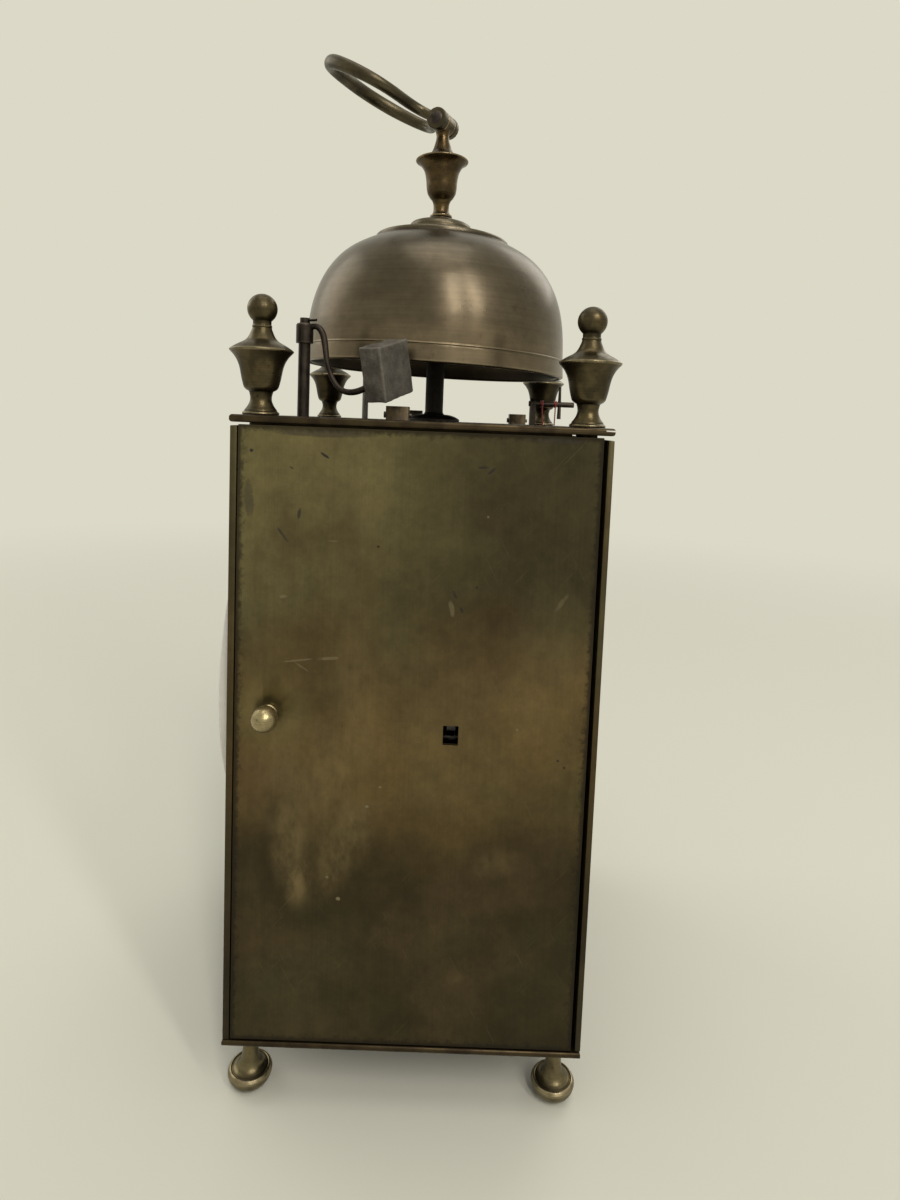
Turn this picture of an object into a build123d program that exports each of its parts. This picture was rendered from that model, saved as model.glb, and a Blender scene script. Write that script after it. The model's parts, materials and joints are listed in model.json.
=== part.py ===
from build123d import *
import os
from math import acos, asin, atan2, cos, degrees, hypot, pi, radians, sin, sqrt, tan

# A spring-driven bell clock with a carrying handle: a brass case on four turned feet, a bell above it,
# and a posted movement inside with a time train, a strike train and an alarm.
# X runs to the right as the dial is read, Y from the dial to the back, Z up. Millimetres.

# ---------------------------------------------------------------- case
PLATE_W, PLATE_D = 136.0, 110.0        # top and bottom plates, across X and Y
BASE_T, TOP_T = 2.0, 2.2
FOOT_H, CASE_H = 19.8, 188.8           # under the bottom plate; clear height between the plates
PLATE_EDGE_R = 0.8
SHEET_T = 2.0                          # front plate
BACK_T, DOOR_T = 1.7, 1.6
CORNER_X = PLATE_W / 2 - 9.35          # pillars, finials and feet
CORNER_Y = PLATE_D / 2 - 6.55
PILLAR_R, STUD_R = 3.2, 1.75
STUD_L = 7.0                           # thread length of finials and feet in the pillars
DOOR_FRONT_Y = -PLATE_D / 2 + 2.6
DOOR_BACK_Y = PLATE_D / 2 - 3.0
DOOR_X = PLATE_W / 2 - 1.8             # inner face of a closed door
HINGE_Y, HINGE_R = PLATE_D / 2 - 5.8, 1.2
KNOB_Y, KNOB_Z, KNOB_R = DOOR_FRONT_Y + 10.1, FOOT_H + 106.0, 3.85
KNOB_RISE = KNOB_R + sqrt(KNOB_R ** 2 - 1.7 ** 2)
SLOT_Y, SLOT_Z, SLOT_W, SLOT_H = 11.45, FOOT_H + 100.9, 4.5, 5.9
FIT = 0.05                             # radial play of a turning fit

BASE_Z = FOOT_H + BASE_T               # top of the bottom plate
CEIL_Z = BASE_Z + CASE_H               # underside of the top plate
TOP_Z = CEIL_Z + TOP_T
FRONT_Y = -PLATE_D / 2 + 0.2           # outer face of the front plate
BACK_Y = PLATE_D / 2                   # outer face of the back panel
SHEET_W = PLATE_W - 0.8
HINGE_X = DOOR_X - HINGE_R + 0.3

# ---------------------------------------------------------------- dial
DIAL_Z, DIAL_R = BASE_Z + 104.0, 58.0
DIAL_RIM_Y, DIAL_RISE, DIAL_T = -60.2, 5.0, 1.6
DIAL_HOLE_R, WIND_HOLE_R = 5.0, 3.6

# ---------------------------------------------------------------- bell, stand and handle
BELL_Y = 1.0                           # axis of the bell stand
BELL_LEAN, BELL_TIP = 1.63, 2.19       # the bell sits a little down at the back and on the right
BELL_OFF = 0.87                        # and its middle lies this far behind the stand
BELL_SEAT_Z = TOP_Z + 66.9             # shoulder of the stand, under the crown of the bell
BELL_R, BELL_T, BELL_H = 48.2, 2.4, 49.2
TOP_FLAT, TOP_FALL = 12.0, 3.4         # flat middle of the crown, and its fall to the step at its edge
STAND_R, SPIGOT_R = 3.4, 1.6
WASHER_R, WASHER_H = 11.6, 5.0
FINIAL_Y, FINIAL_LEAN = 1.05, 0.8      # the bell finial stands almost upright
PIVOT_UP = 33.65                       # handle pivot above the foot of the bell finial
HANDLE_YAW, HANDLE_RISE = 23.5, 28.3
ROD_ACROSS, ROD_UP = 2.05, 2.4         # half sizes of the oval handle rod
KNUCKLE_R, KNUCKLE_W, EYE_T = 3.7, 6.2, 2.6
HANDLE_PIN_R = 1.4

# ---------------------------------------------------------------- movement frame
POST_X, POST_FRONT_Y, POST_BACK_Y = 45.0, -8.9, 36.0
POST_W, TENON_W, TENON_UP = 8.0, 7.0, 4.3
MOVE_X, MOVE_Z0, MOVE_T = 54.0, BASE_Z + 23.0, 2.5
MOVE_Z1 = CEIL_Z - 7.8
FP_BACK = POST_FRONT_Y - POST_W / 2    # inner face of the front movement plate
BP_FRONT = POST_BACK_Y - POST_W / 2 - MOVE_T
PIVOT_R = 1.0

# ---------------------------------------------------------------- time train
BARREL_X, BARREL_Z, BARREL_R = 23.5, DIAL_Z - 40.1, 19.5
GREAT_M, GREAT_N, GREAT_LEAVES = 0.8, 60, 8
SECOND_M, SECOND_N, CENTRE_LEAVES = 0.6, 56, 8
CENTRE_M, CENTRE_N, THIRD_LEAVES = 0.45, 72, 6
THIRD_M, THIRD_N, ESCAPE_LEAVES = 0.42, 72, 6
ESCAPE_N, ESCAPE_R = 30, 11.0
WIND_R, WIND_SQUARE = 2.6, 3.6
RATCHET_N, RATCHET_R = 20, 8.0
CLICK_PIVOT = (-9.5, 9.0)              # from the axis of the ratchet wheel
CLICK_DROP = 6.5                       # degrees from the lifted click to the gap between two teeth
CLICK_BITE = 0.55                      # depth of the nose below the tips of the ratchet teeth
MESH_PLAY = 0.06

# ---------------------------------------------------------------- strike train
PIN_X = 30.0
PIN_M, PIN_N, WARN_LEAVES = 0.6, 60, 10
WARN_M, WARN_N, FLY_LEAVES = 0.55, 48, 8
WARN_TURN, FLY_TURN = 102.0, 65.0      # directions from the pin wheel and from the warning wheel
COUNT_N, REPORT_LEAVES = 78, 8         # 78 blows in twelve hours
COUNT_START = 35.0                     # direction of the notch under the detent
STAR_ARMS, STAR_R, STAR_CLEAR = 8, 8.0, 0.3
DETENT_X, DETENT_Z = 50.6, DIAL_Z - 13.0

# ---------------------------------------------------------------- strike hammer
HAMMER_X, HAMMER_Y = 50.0, -37.7
HAMMER_R, COLLAR_R = 1.8, 2.6
COLLAR_Z0, COLLAR_Z1 = TOP_Z + 22.3, TOP_Z + 28.3
HAMMER_FOOT_Z = DIAL_Z - 21.0
HEAD_SIZE = (7.4, 15.0, 16.2)
HEAD_AT = (55.8, -11.6, TOP_Z + 14.6)
HEAD_YAW, HEAD_TILT = 60.5, 16.0
ARM_R = 0.88

# ---------------------------------------------------------------- alarm
VERGE_Y, VERGE_R = -24.9, 1.1
CROWN_Z, CROWN_R, CROWN_N = DIAL_Z + 53.0, 9.5, 17
ALARM_M, ALARM_N, ALARM_LEAVES = 0.6, 54, 8
BRIDGE_Y, BRIDGE_T = 3.0, 2.5

# ---------------------------------------------------------------- suspension and pendulum
SUSP_Y0, SUSP_Y1, SUSP_Z = 37.4, 53.4, TOP_Z + 8.0
SUSP_R, THREAD_R = 1.0, 0.35
ROD_Y, ROD_TOP_Z, BOB_Z, BOB_R = 45.4, DIAL_Z + 37.0, BASE_Z + 29.0, 14.0

# ---------------------------------------------------------------- shapes


def block(x0, x1, y0, y1, z0, z1):
    """A box between two corners."""
    return Pos((x0 + x1) / 2, (y0 + y1) / 2, (z0 + z1) / 2) * Box(x1 - x0, y1 - y0, z1 - z0)


def post(x, y, z0, z1, r):
    """An upright cylinder from z0 to z1."""
    return Pos(x, y, (z0 + z1) / 2) * Cylinder(r, z1 - z0)


def rod(x, z, y0, y1, r):
    """A cylinder along Y from y0 to y1."""
    return Pos(x, (y0 + y1) / 2, z) * Rot(90, 0, 0) * Cylinder(r, y1 - y0)


def square_rod(x, z, y0, y1, side):
    """A square bar along Y."""
    return block(x - side / 2, x + side / 2, y0, y1, z - side / 2, z + side / 2)


def facing(shape, x, z, y_back):
    """Stand a part drawn flat in XY up against the plane y_back, so that it is seen from the dial side."""
    return Pos(x, y_back, z) * Rot(90, 0, 0) * shape


def turned(start, *runs):
    """A solid turned about Z. Each run is 'line', 'arc' or 'curve' with the points (radius, height) after it."""
    edges, at = [], start
    for kind, *points in runs:
        if kind == "line":
            for point in points:
                edges.append(Line(at, point))
                at = point
        elif kind == "arc":
            edges.append(ThreePointArc(at, *points))
        else:
            edges.append(Spline(at, *points))
        at = points[-1]
    if at != start:
        edges.append(Line(at, start))
    return revolve(Plane.XZ * make_face(edges), axis=Axis.Z)


def cap_middle(r, z, rise):
    """Middle of the arc, centred on the axis, that joins (r, z) to the axis at z + rise."""
    ball = (r * r + rise * rise) / (2 * abs(rise))
    half = degrees(acos((ball - abs(rise)) / ball)) / 2
    top = z + rise
    drop = ball * (1 - cos(radians(half)))
    return ball * sin(radians(half)), top - drop if rise > 0 else top + drop


def four_corners(shape, x, y):
    """Four copies at the corners (x, y)."""
    return [Pos(sx * x, sy * y, 0) * shape for sx in (-1, 1) for sy in (-1, 1)]


def group(*solids):
    """Separate solids kept in one named part."""
    return Compound([s for shape in solids for s in shape.solids()])


def polar(r, turn):
    return r * cos(radians(turn)), r * sin(radians(turn))


# ---------------------------------------------------------------- toothed wheels


def tooth_ring(n, root, tip, root_share, tip_share, phase=0.0, lean=0.0):
    """Closed outline of n teeth. Shares are parts of the pitch; lean moves the tips round by degrees."""
    pitch, points = 360.0 / n, []
    for k in range(n):
        mid = phase + k * pitch
        for r, turn in (
            (root, mid - root_share * pitch / 2),
            (tip, mid + lean - tip_share * pitch / 2),
            (tip, mid + lean + tip_share * pitch / 2),
            (root, mid + root_share * pitch / 2),
        ):
            points.append(polar(r, turn))
    return make_face(Polyline(*points, close=True))


def crossing(inner, outer, arms, arm_w):
    """The windows between the arms of a wheel: sectors from inner to outer radius."""
    windows = []
    step = 360.0 / arms
    for k in range(arms):
        a0, a1 = k * step, (k + 1) * step
        in0, in1 = degrees(asin(arm_w / 2 / inner)), degrees(asin(arm_w / 2 / outer))
        mid = (a0 + a1) / 2
        window = make_face([
            Line(polar(inner, a0 + in0), polar(outer, a0 + in1)),
            ThreePointArc(polar(outer, a0 + in1), polar(outer, mid), polar(outer, a1 - in1)),
            Line(polar(outer, a1 - in1), polar(inner, a1 - in0)),
            ThreePointArc(polar(inner, a1 - in0), polar(inner, mid), polar(inner, a0 + in0)),
        ])
        windows.append(window)
    return windows


def wheel(n, module, thick, phase=0.0, hub=4.0, arms=4, arm_w=2.4, rim=2.2):
    """A crossed-out brass wheel lying in XY from z = 0 to its thickness."""
    pitch_r = n * module / 2
    face = tooth_ring(n, pitch_r - 1.2 * module, pitch_r + 0.95 * module, 0.56, 0.16, phase)
    for window in crossing(hub, pitch_r - 1.2 * module - rim, arms, arm_w):
        face -= window
    return extrude(face, thick)


def pinion(n, module, length, phase=0.0):
    """A pinion of thin leaves."""
    pitch_r = n * module / 2
    face = tooth_ring(n, pitch_r - 1.25 * module, pitch_r + 0.75 * module, 0.42, 0.16, phase)
    return extrude(face, length)


def toward(a, b):
    """Direction in degrees from the axis a to the axis b."""
    return degrees(atan2(b[1] - a[1], b[0] - a[0]))


def leaf_phase(pinion_axis, wheel_axis, leaves):
    """Phase that points a gap of the pinion at the wheel."""
    return toward(pinion_axis, wheel_axis) + 180.0 / leaves


def distance(module, n1, n2):
    return module * (n1 + n2) / 2 + MESH_PLAY


# Axes (X, Z) of every arbor
CENTRE = (0.0, DIAL_Z)
GOING = (-BARREL_X, BARREL_Z)
STRIKE = (BARREL_X, BARREL_Z)
_gap = hypot(BARREL_X, DIAL_Z - BARREL_Z)
_share = distance(GREAT_M, GREAT_N, GREAT_LEAVES) / _gap
SECOND = (GOING[0] * (1 - _share), BARREL_Z + (DIAL_Z - BARREL_Z) * _share)
THIRD = (-12.0, DIAL_Z + sqrt(distance(CENTRE_M, CENTRE_N, THIRD_LEAVES) ** 2 - 144.0))
ESCAPE = (0.0, THIRD[1] + sqrt(distance(THIRD_M, THIRD_N, ESCAPE_LEAVES) ** 2 - 144.0))
ANCHOR = (0.0, ESCAPE[1] + ESCAPE_R * sqrt(2))
_rise = sqrt(distance(GREAT_M, GREAT_N, GREAT_LEAVES) ** 2 - (PIN_X - BARREL_X) ** 2)
PIN = (PIN_X, BARREL_Z + _rise)
_step = polar(distance(PIN_M, PIN_N, WARN_LEAVES), WARN_TURN)
WARN = (PIN[0] + _step[0], PIN[1] + _step[1])
_step = polar(distance(WARN_M, WARN_N, FLY_LEAVES), FLY_TURN)
FLY = (WARN[0] + _step[0], WARN[1] + _step[1])
CROWN = (0.0, CROWN_Z)
ALARM = (0.0, CROWN_Z - distance(ALARM_M, ALARM_N, ALARM_LEAVES))
COUNT_M = 2 * (hypot(PIN[0] - STRIKE[0], PIN[1] - STRIKE[1]) - MESH_PLAY) / (COUNT_N + REPORT_LEAVES)

# Stations along Y
GOING_GREAT_Y, STRIKE_GREAT_Y, GREAT_T = 23.0, -0.5, 2.5     # back faces of the great wheels
SECOND_Y, CENTRE_Y, THIRD_Y, ESCAPE_Y = 26.6, 18.5, 13.5, 21.6
PINWHEEL_Y, WARN_Y = 23.2, 9.5
RATCHET_Y, RATCHET_T = -6.0, 1.8
COUNT_Y, STAR_Y = -17.2, -23.0
MOTION_Y = -19.0
ALARM_GREAT_Y = 0.6

# ---------------------------------------------------------------- case parts


def rounded_plate(thick):
    plate = Box(PLATE_W, PLATE_D, thick)
    return fillet(plate.edges().filter_by(Axis.Z, reverse=True), PLATE_EDGE_R)


def hinge_holes(z0, z1):
    return [post(s * HINGE_X, HINGE_Y, z0, z1, HINGE_R + FIT) for s in (-1, 1)]


def bottom_plate():
    plate = Pos(0, 0, FOOT_H + BASE_T / 2) * rounded_plate(BASE_T)
    plate -= four_corners(post(0, 0, FOOT_H, BASE_Z, STUD_R), CORNER_X, CORNER_Y)
    plate -= hinge_holes(FOOT_H - 1, BASE_Z + 1)
    for y in (POST_FRONT_Y, POST_BACK_Y):
        for x in (-POST_X, POST_X):
            plate -= block(x - TENON_W / 2, x + TENON_W / 2, y - TENON_W / 2, y + TENON_W / 2, FOOT_H, BASE_Z)
    return plate


def top_plate():
    plate = Pos(0, 0, CEIL_Z + TOP_T / 2) * rounded_plate(TOP_T)
    plate -= four_corners(post(0, 0, CEIL_Z, TOP_Z, STUD_R), CORNER_X, CORNER_Y)
    plate -= hinge_holes(CEIL_Z - 1, TOP_Z + 1)
    for y in (POST_FRONT_Y, POST_BACK_Y):
        for x in (-POST_X, POST_X):
            plate -= block(x - TENON_W / 2, x + TENON_W / 2, y - TENON_W / 2, y + TENON_W / 2, CEIL_Z, TOP_Z)
    plate -= post(0, BELL_Y, CEIL_Z, TOP_Z, STAND_R)
    plate -= post(HAMMER_X, HAMMER_Y, CEIL_Z, TOP_Z, HAMMER_R + FIT)
    plate -= post(0, VERGE_Y, CEIL_Z, TOP_Z, VERGE_R + FIT)
    plate -= block(-3.2, 3.2, SUSP_Y0 + 3.4, SUSP_Y0 + 12.0, CEIL_Z, TOP_Z)
    plate -= block(-2.0, 2.0, SUSP_Y0 - 0.4, SUSP_Y0 + 1.6, CEIL_Z, TOP_Z)
    for side in (-1, 1):                   # a ledge behind the top edge of each door
        near, far = sorted((side * (DOOR_X - 2.7), side * (DOOR_X - 1.2)))
        plate += block(near, far, DOOR_FRONT_Y + 4, HINGE_Y - 6, CEIL_Z - 1.5, CEIL_Z)
    return plate - block(-PLATE_W, PLATE_W, BACK_Y - 2.6, BACK_Y + 1, TOP_Z - 1.0, TOP_Z - 0.6)


def corner_pillars():
    pillar = post(0, 0, BASE_Z, CEIL_Z, PILLAR_R)
    pillar -= post(0, 0, BASE_Z, BASE_Z + STUD_L, STUD_R) + post(0, 0, CEIL_Z - STUD_L, CEIL_Z, STUD_R)
    return group(*four_corners(pillar, CORNER_X, CORNER_Y))


def corner_finials():
    finial = turned(
        (0, -TOP_T - STUD_L + 0.5), ("line", (STUD_R, -TOP_T - STUD_L + 0.5), (STUD_R, 0), (5.2, 0)),
        ("arc", (5.4, 0.5), (5.0, 1.0)), ("curve", (3.9, 2.3), (3.05, 4.9), (3.5, 6.9)),
        ("arc", (4.5, 7.7), (5.2, 8.6)), ("curve", (5.7, 10.8), (6.45, 14.4), (9.3, 18.8)),
        ("curve", (6.9, 20.6), (4.2, 22.3), (3.1, 24.2), (2.65, 25.6)), ("line", (2.65, 27.5)),
        ("arc", cap_middle(2.65, 27.5, 7.8), (0, 35.3)))
    return group(*four_corners(Pos(0, 0, TOP_Z) * finial, CORNER_X, CORNER_Y))


def feet():
    foot = turned(
        (0, 0), ("line", (3.4, 0)), ("arc", (5.9, 1.7), (6.9, 4.1)), ("line", (6.75, 4.9), (6.3, 5.5), (5.5, 5.3)),
        ("curve", (4.3, 6.0), (3.4, 7.5), (3.0, 10.2), (2.85, 14.5), (3.1, FOOT_H)),
        ("line", (STUD_R, FOOT_H), (STUD_R, BASE_Z + STUD_L - 0.5), (0, BASE_Z + STUD_L - 0.5)))
    return group(*four_corners(foot, CORNER_X, CORNER_Y))


def front_plate():
    plate = block(-SHEET_W / 2, SHEET_W / 2, FRONT_Y, FRONT_Y + SHEET_T, BASE_Z, CEIL_Z - 1.0)
    plate -= rod(*CENTRE, FRONT_Y - 1, FRONT_Y + SHEET_T + 1, DIAL_HOLE_R)
    for axis in (GOING, STRIKE, ALARM):
        plate -= rod(*axis, FRONT_Y - 1, FRONT_Y + SHEET_T + 1, WIND_HOLE_R)
    return plate


def back_panel():
    return block(-SHEET_W / 2, SHEET_W / 2, BACK_Y - BACK_T, BACK_Y, BASE_Z + 0.3, CEIL_Z - 1.3)


def right_door():
    sheet = block(DOOR_X, DOOR_X + DOOR_T, DOOR_FRONT_Y, DOOR_BACK_Y, BASE_Z + 0.6, CEIL_Z - 0.6)
    hinge = post(HINGE_X, HINGE_Y, FOOT_H + 0.4, TOP_Z - 0.4, HINGE_R)
    sheet -= Pos(DOOR_X, KNOB_Y, KNOB_Z) * Rot(0, 90, 0) * Cylinder(HINGE_R, 9)
    return sheet - hinge, hinge


def side_slot():
    return block(DOOR_X - 1, DOOR_X + DOOR_T + 1, SLOT_Y - SLOT_W / 2, SLOT_Y + SLOT_W / 2,
                 SLOT_Z - SLOT_H / 2, SLOT_Z + SLOT_H / 2)


def door_knob():
    knob = turned(
        (0, -DOOR_T - 0.8), ("line", (1.9, -DOOR_T - 0.8), (1.9, -DOOR_T), (HINGE_R, -DOOR_T), (HINGE_R, 0), (2.6, 0)),
        ("arc", (2.5, 0.7), (1.9, 1.1)), ("line", (1.7, 1.5)),
        ("arc", cap_middle(1.7, 1.5, KNOB_RISE), (0, 1.5 + KNOB_RISE)))
    return Pos(DOOR_X + DOOR_T, KNOB_Y, KNOB_Z) * Rot(0, 90, 0) * knob


def mirrored(shape):
    return mirror(shape, about=Plane.YZ)


# ---------------------------------------------------------------- dial and hands


def dial():
    ball_r = (DIAL_R ** 2 + DIAL_RISE ** 2) / (2 * DIAL_RISE)
    shell = turned(
        (0, DIAL_RISE - DIAL_T), ("arc", (DIAL_R / 2, DIAL_RISE - DIAL_T - ball_r + sqrt(ball_r ** 2 - DIAL_R ** 2 / 4)),
        (DIAL_R, -DIAL_T)), ("line", (DIAL_R, 0)),
        ("arc", (DIAL_R / 2, DIAL_RISE - ball_r + sqrt(ball_r ** 2 - DIAL_R ** 2 / 4)), (0, DIAL_RISE)))
    shell = facing(shell, *CENTRE, DIAL_RIM_Y)
    shell -= rod(*CENTRE, DIAL_RIM_Y - 9, DIAL_RIM_Y + 3, DIAL_HOLE_R)
    for axis in (GOING, STRIKE, ALARM):
        shell -= rod(*axis, DIAL_RIM_Y - 9, DIAL_RIM_Y + 3, WIND_HOLE_R)
    return shell


def dial_ring():
    ring = rod(*CENTRE, DIAL_RIM_Y + DIAL_T, FRONT_Y, DIAL_R - 1.0)
    return ring - rod(*CENTRE, DIAL_RIM_Y + DIAL_T, FRONT_Y, DIAL_R - 4.0)


def hand(length, boss, tail, root_w, tip_w, turn):
    """A flat hand with a pierced oval near its point, lying in XY and pointing at turn."""
    oval = length * 0.55
    blade = make_face(Polyline((-root_w / 2, 0), (-tip_w / 2, length * 0.62), (0, length), (tip_w / 2, length * 0.62),
                               (root_w / 2, 0), close=True))
    face = blade + Circle(boss) + Pos(0, oval) * Ellipse(root_w * 1.45, length * 0.085)
    face -= Pos(0, oval) * Ellipse(root_w * 0.85, length * 0.055)
    face += Pos(0, -tail / 2) * Rectangle(root_w, tail)
    return Rot(0, 0, turn) * face


def hour_hand():
    face = hand(30, 4.6, 1.0, 1.7, 1.4, 60) - Circle(3.45)
    return facing(extrude(face, 0.8), *CENTRE, -67.4)


def minute_hand():
    face = hand(46, 3.6, 9.0, 1.6, 1.2, 0) - Circle(2.4)
    return facing(extrude(face, 0.8), *CENTRE, -69.2)


def alarm_disc():
    face = Circle(12.0) - Circle(3.45)
    return facing(extrude(face, 0.7), *CENTRE, -66.0)


# ---------------------------------------------------------------- bell, handle


def leaning(shape):
    """Place a part drawn about the spigot, with its origin at the shoulder of the stand."""
    return Pos(0, BELL_Y, BELL_SEAT_Z) * Rot(-BELL_LEAN, 0, 0) * Rot(0, BELL_TIP, 0) * shape


def bell_stand():
    flange = turned((0, 0), ("line", (9.6, 0), (9.6, 0.9)), ("arc", (7.0, 2.2), (STAND_R, 2.6)), ("line", (0, 2.6)))
    column = post(0, BELL_Y, CEIL_Z - 1.2, BELL_SEAT_Z - 1.6, STAND_R)
    top = BELL_T + WASHER_H + 3.6
    seat = leaning(turned((0, -4), ("line", (STAND_R, -4), (5.4, -2.0), (5.4, 0), (SPIGOT_R, 0), (SPIGOT_R, top), (0, top))))
    rivet = Pos(0, BELL_Y, CEIL_Z - 1.2) * Cylinder(5.0, 1.2, align=(Align.CENTER, Align.CENTER, Align.MIN))
    return Pos(0, BELL_Y, TOP_Z) * flange + column + seat + rivet


def bell():
    """A cast bell with a low cone for a crown, its edge a small step above the waist."""
    edge = BELL_T - TOP_FALL             # height of the step
    lip = BELL_T - BELL_H                  # height of the mouth
    wall = turned(
        (0, 0), ("line", (TOP_FLAT - 1.4, 0), (22.4, edge - 2.9)),
        ("curve", (33.4, edge - 9.3), (41.1, edge - 19.5), (44.3, edge - 30.9), (45.1, edge - 40.9)),
        ("line", (45.8, lip), (BELL_R, lip), (47.9, edge - 40.8), (47.5, edge - 40.4)),
        ("curve", (46.67, edge - 30.9), (43.21, edge - 18.3), (35.07, edge - 7.3), (23.9, edge - 0.8)),
        ("line", (24.5, edge), (TOP_FLAT, BELL_T), (0, BELL_T)))
    return leaning(Pos(0, BELL_OFF, 0) * wall - Cylinder(SPIGOT_R, 4 * BELL_T))


def bell_washer():
    base = BELL_T
    return leaning(turned(
        (SPIGOT_R, base), ("line", (WASHER_R, base), (WASHER_R, base + 2.6)), ("arc", (11.2, base + 3.5), (9.9, base + 4.1)),
        ("line", (3.9, base + WASHER_H), (SPIGOT_R, base + WASHER_H))))


def upright(shape):
    """Place a part drawn about the axis of the bell finial, with its origin at the foot of the finial."""
    return Pos(0, FINIAL_Y, BELL_SEAT_Z + BELL_T + WASHER_H) * Rot(FINIAL_LEAN, 0, 0) * shape


def knuckle_frame():
    """Where the handle turns: the pivot, with local X along its rivet."""
    return upright(Pos(0, 0, PIVOT_UP) * Rot(0, 0, -HANDLE_YAW))


def bell_finial():
    body = upright(turned(
        (0, -0.6), ("line", (4.05, -0.6), (4.05, 0.5)), ("curve", (3.3, 1.3), (3.0, 2.4), (2.84, 4.2), (3.07, 5.6)),
        ("arc", (3.9, 6.7), (5.1, 8.4)), ("curve", (5.45, 9.9), (5.7, 12.0), (6.1, 14.8), (6.85, 17.0), (8.0, 18.5)),
        ("arc", (9.75, 20.2), (8.6, 21.7)),
        ("curve", (6.0, 22.6), (3.9, 23.6), (3.0, 24.9), (2.63, 26.5)),
        ("line", (2.9, 30.0), (2.9, PIVOT_UP - 1.0), (0, PIVOT_UP - 1.0))))
    barrel = knuckle_frame() * Rot(0, 90, 0) * Cylinder(KNUCKLE_R, KNUCKLE_W)
    foot = BELL_T + WASHER_H
    body -= leaning(Pos(0, 0, foot - 5) * Cylinder(WASHER_R, 10))
    body -= leaning(Pos(0, 0, foot) * Cylinder(SPIGOT_R, 7.2))
    body = body + barrel
    return body - knuckle_frame() * Rot(0, 90, 0) * Cylinder(HANDLE_PIN_R, KNUCKLE_W + 2)


def handle_pin():
    half = KNUCKLE_W / 2 + 0.3 + EYE_T
    pin = turned(
        (0, -half - 0.8), ("arc", cap_middle(2.4, -half, -0.8), (2.4, -half)),
        ("line", (HANDLE_PIN_R, -half), (HANDLE_PIN_R, half), (2.4, half)),
        ("arc", cap_middle(2.4, half, 0.8), (0, half + 0.8)))
    return knuckle_frame() * Rot(0, 90, 0) * pin


def handle():
    """An oval loop of flattened rod that ends in two eyes, one each side of the knuckle."""
    eye_x = KNUCKLE_W / 2 + 0.3 + EYE_T / 2
    half = [(eye_x, 2.6), (eye_x + 0.6, 6.9), (8.4, 10.2), (15.4, 13.1), (21.9, 18.4), (23.9, 26.5), (21.5, 36.9),
            (13.6, 44.9), (0, 47.7)]
    route = half + [(-x, z) for x, z in reversed(half[:-1])]
    path = Spline(*[(x, 0, z) for x, z in route])
    section = Plane(origin=path @ 0, x_dir=(0, 1, 0), z_dir=path % 0) * Ellipse(ROD_UP, ROD_ACROSS)
    loop = sweep(section, path)
    for side in (-1, 1):
        eye = Pos(side * eye_x, 0, 0) * Rot(0, 90, 0) * Cylinder(KNUCKLE_R + 0.1, EYE_T)
        loop += eye
        loop -= Pos(side * eye_x, 0, 0) * Rot(0, 90, 0) * Cylinder(HANDLE_PIN_R + FIT, EYE_T + 2)
    loop -= Rot(0, 90, 0) * Cylinder(KNUCKLE_R + 1.0, KNUCKLE_W + 0.6)
    return knuckle_frame() * Rot(90 - HANDLE_RISE, 0, 0) * loop


# ---------------------------------------------------------------- strike hammer


def hammer_arbor():
    low = HAMMER_FOOT_Z
    shaft = post(HAMMER_X, HAMMER_Y, low, COLLAR_Z1, HAMMER_R) + post(HAMMER_X, HAMMER_Y, COLLAR_Z1, COLLAR_Z1 + 1.6, 1.5)
    shaft += post(HAMMER_X, HAMMER_Y, low - 3.0, low, PIVOT_R)
    prong = 2.3                            # from the middle of the tail down to its tip
    tail_z = PIN[1] + STAR_R + STAR_CLEAR + prong
    reach = hypot(HAMMER_X - PIN[0], STAR_Y - 1.0 - HAMMER_Y)
    turn = degrees(atan2(STAR_Y - 1.0 - HAMMER_Y, PIN[0] - HAMMER_X))
    tail = Pos(reach / 2, 0, 0) * Box(reach, 2.0, 2.0) + Cylinder(3.2, 3.4)
    tail += Pos(reach - 0.6, 0, -prong / 2) * Box(1.2, 2.0, prong)
    shaft += Pos(HAMMER_X, HAMMER_Y, tail_z) * Rot(0, 0, turn) * tail
    return shaft - collar_pin()


def collar_pin():
    """The small pin through the top of the arbor that keeps the collar down."""
    return Pos(HAMMER_X, HAMMER_Y, COLLAR_Z1 + 0.9) * Rot(0, 0, 62) * (Pos(1.6, 0, 0) * Rot(0, 90, 0) * Cylinder(0.4, 5.6))


def hammer_arm():
    """The collar, the bent wire that carries the head, and the small pin that holds the collar."""
    collar = post(HAMMER_X, HAMMER_Y, COLLAR_Z0, COLLAR_Z1, COLLAR_R) - post(HAMMER_X, HAMMER_Y, COLLAR_Z0, COLLAR_Z1, HAMMER_R)
    bends = [(HAMMER_X + 0.5, HAMMER_Y + 2.2, 27.2), (50.8, -33.8, 27.4), (51.4, -31.3, 22.6), (51.8, -30.4, 17.0),
             (52.2, -27.9, 10.8), (53.2, -25.6, 8.5), (54.6, -22.4, 7.8), (56.6, -18.4, 8.8), (58.0, -16.0, 9.6)]
    path = Spline(*[(x, y, TOP_Z + up) for x, y, up in bends])
    wire = sweep(Plane(origin=path @ 0, z_dir=path % 0) * Circle(ARM_R), path) - hammer_head_solid()
    wire -= post(HAMMER_X, HAMMER_Y, COLLAR_Z0, COLLAR_Z1, HAMMER_R)
    return collar + wire, collar_pin()


def hammer_head_solid():
    stock = Box(*HEAD_SIZE)
    stock = fillet(stock.edges(), 0.45)
    return Pos(*HEAD_AT) * Rot(0, 0, HEAD_YAW) * Rot(HEAD_TILT, 0, 0) * stock


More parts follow.
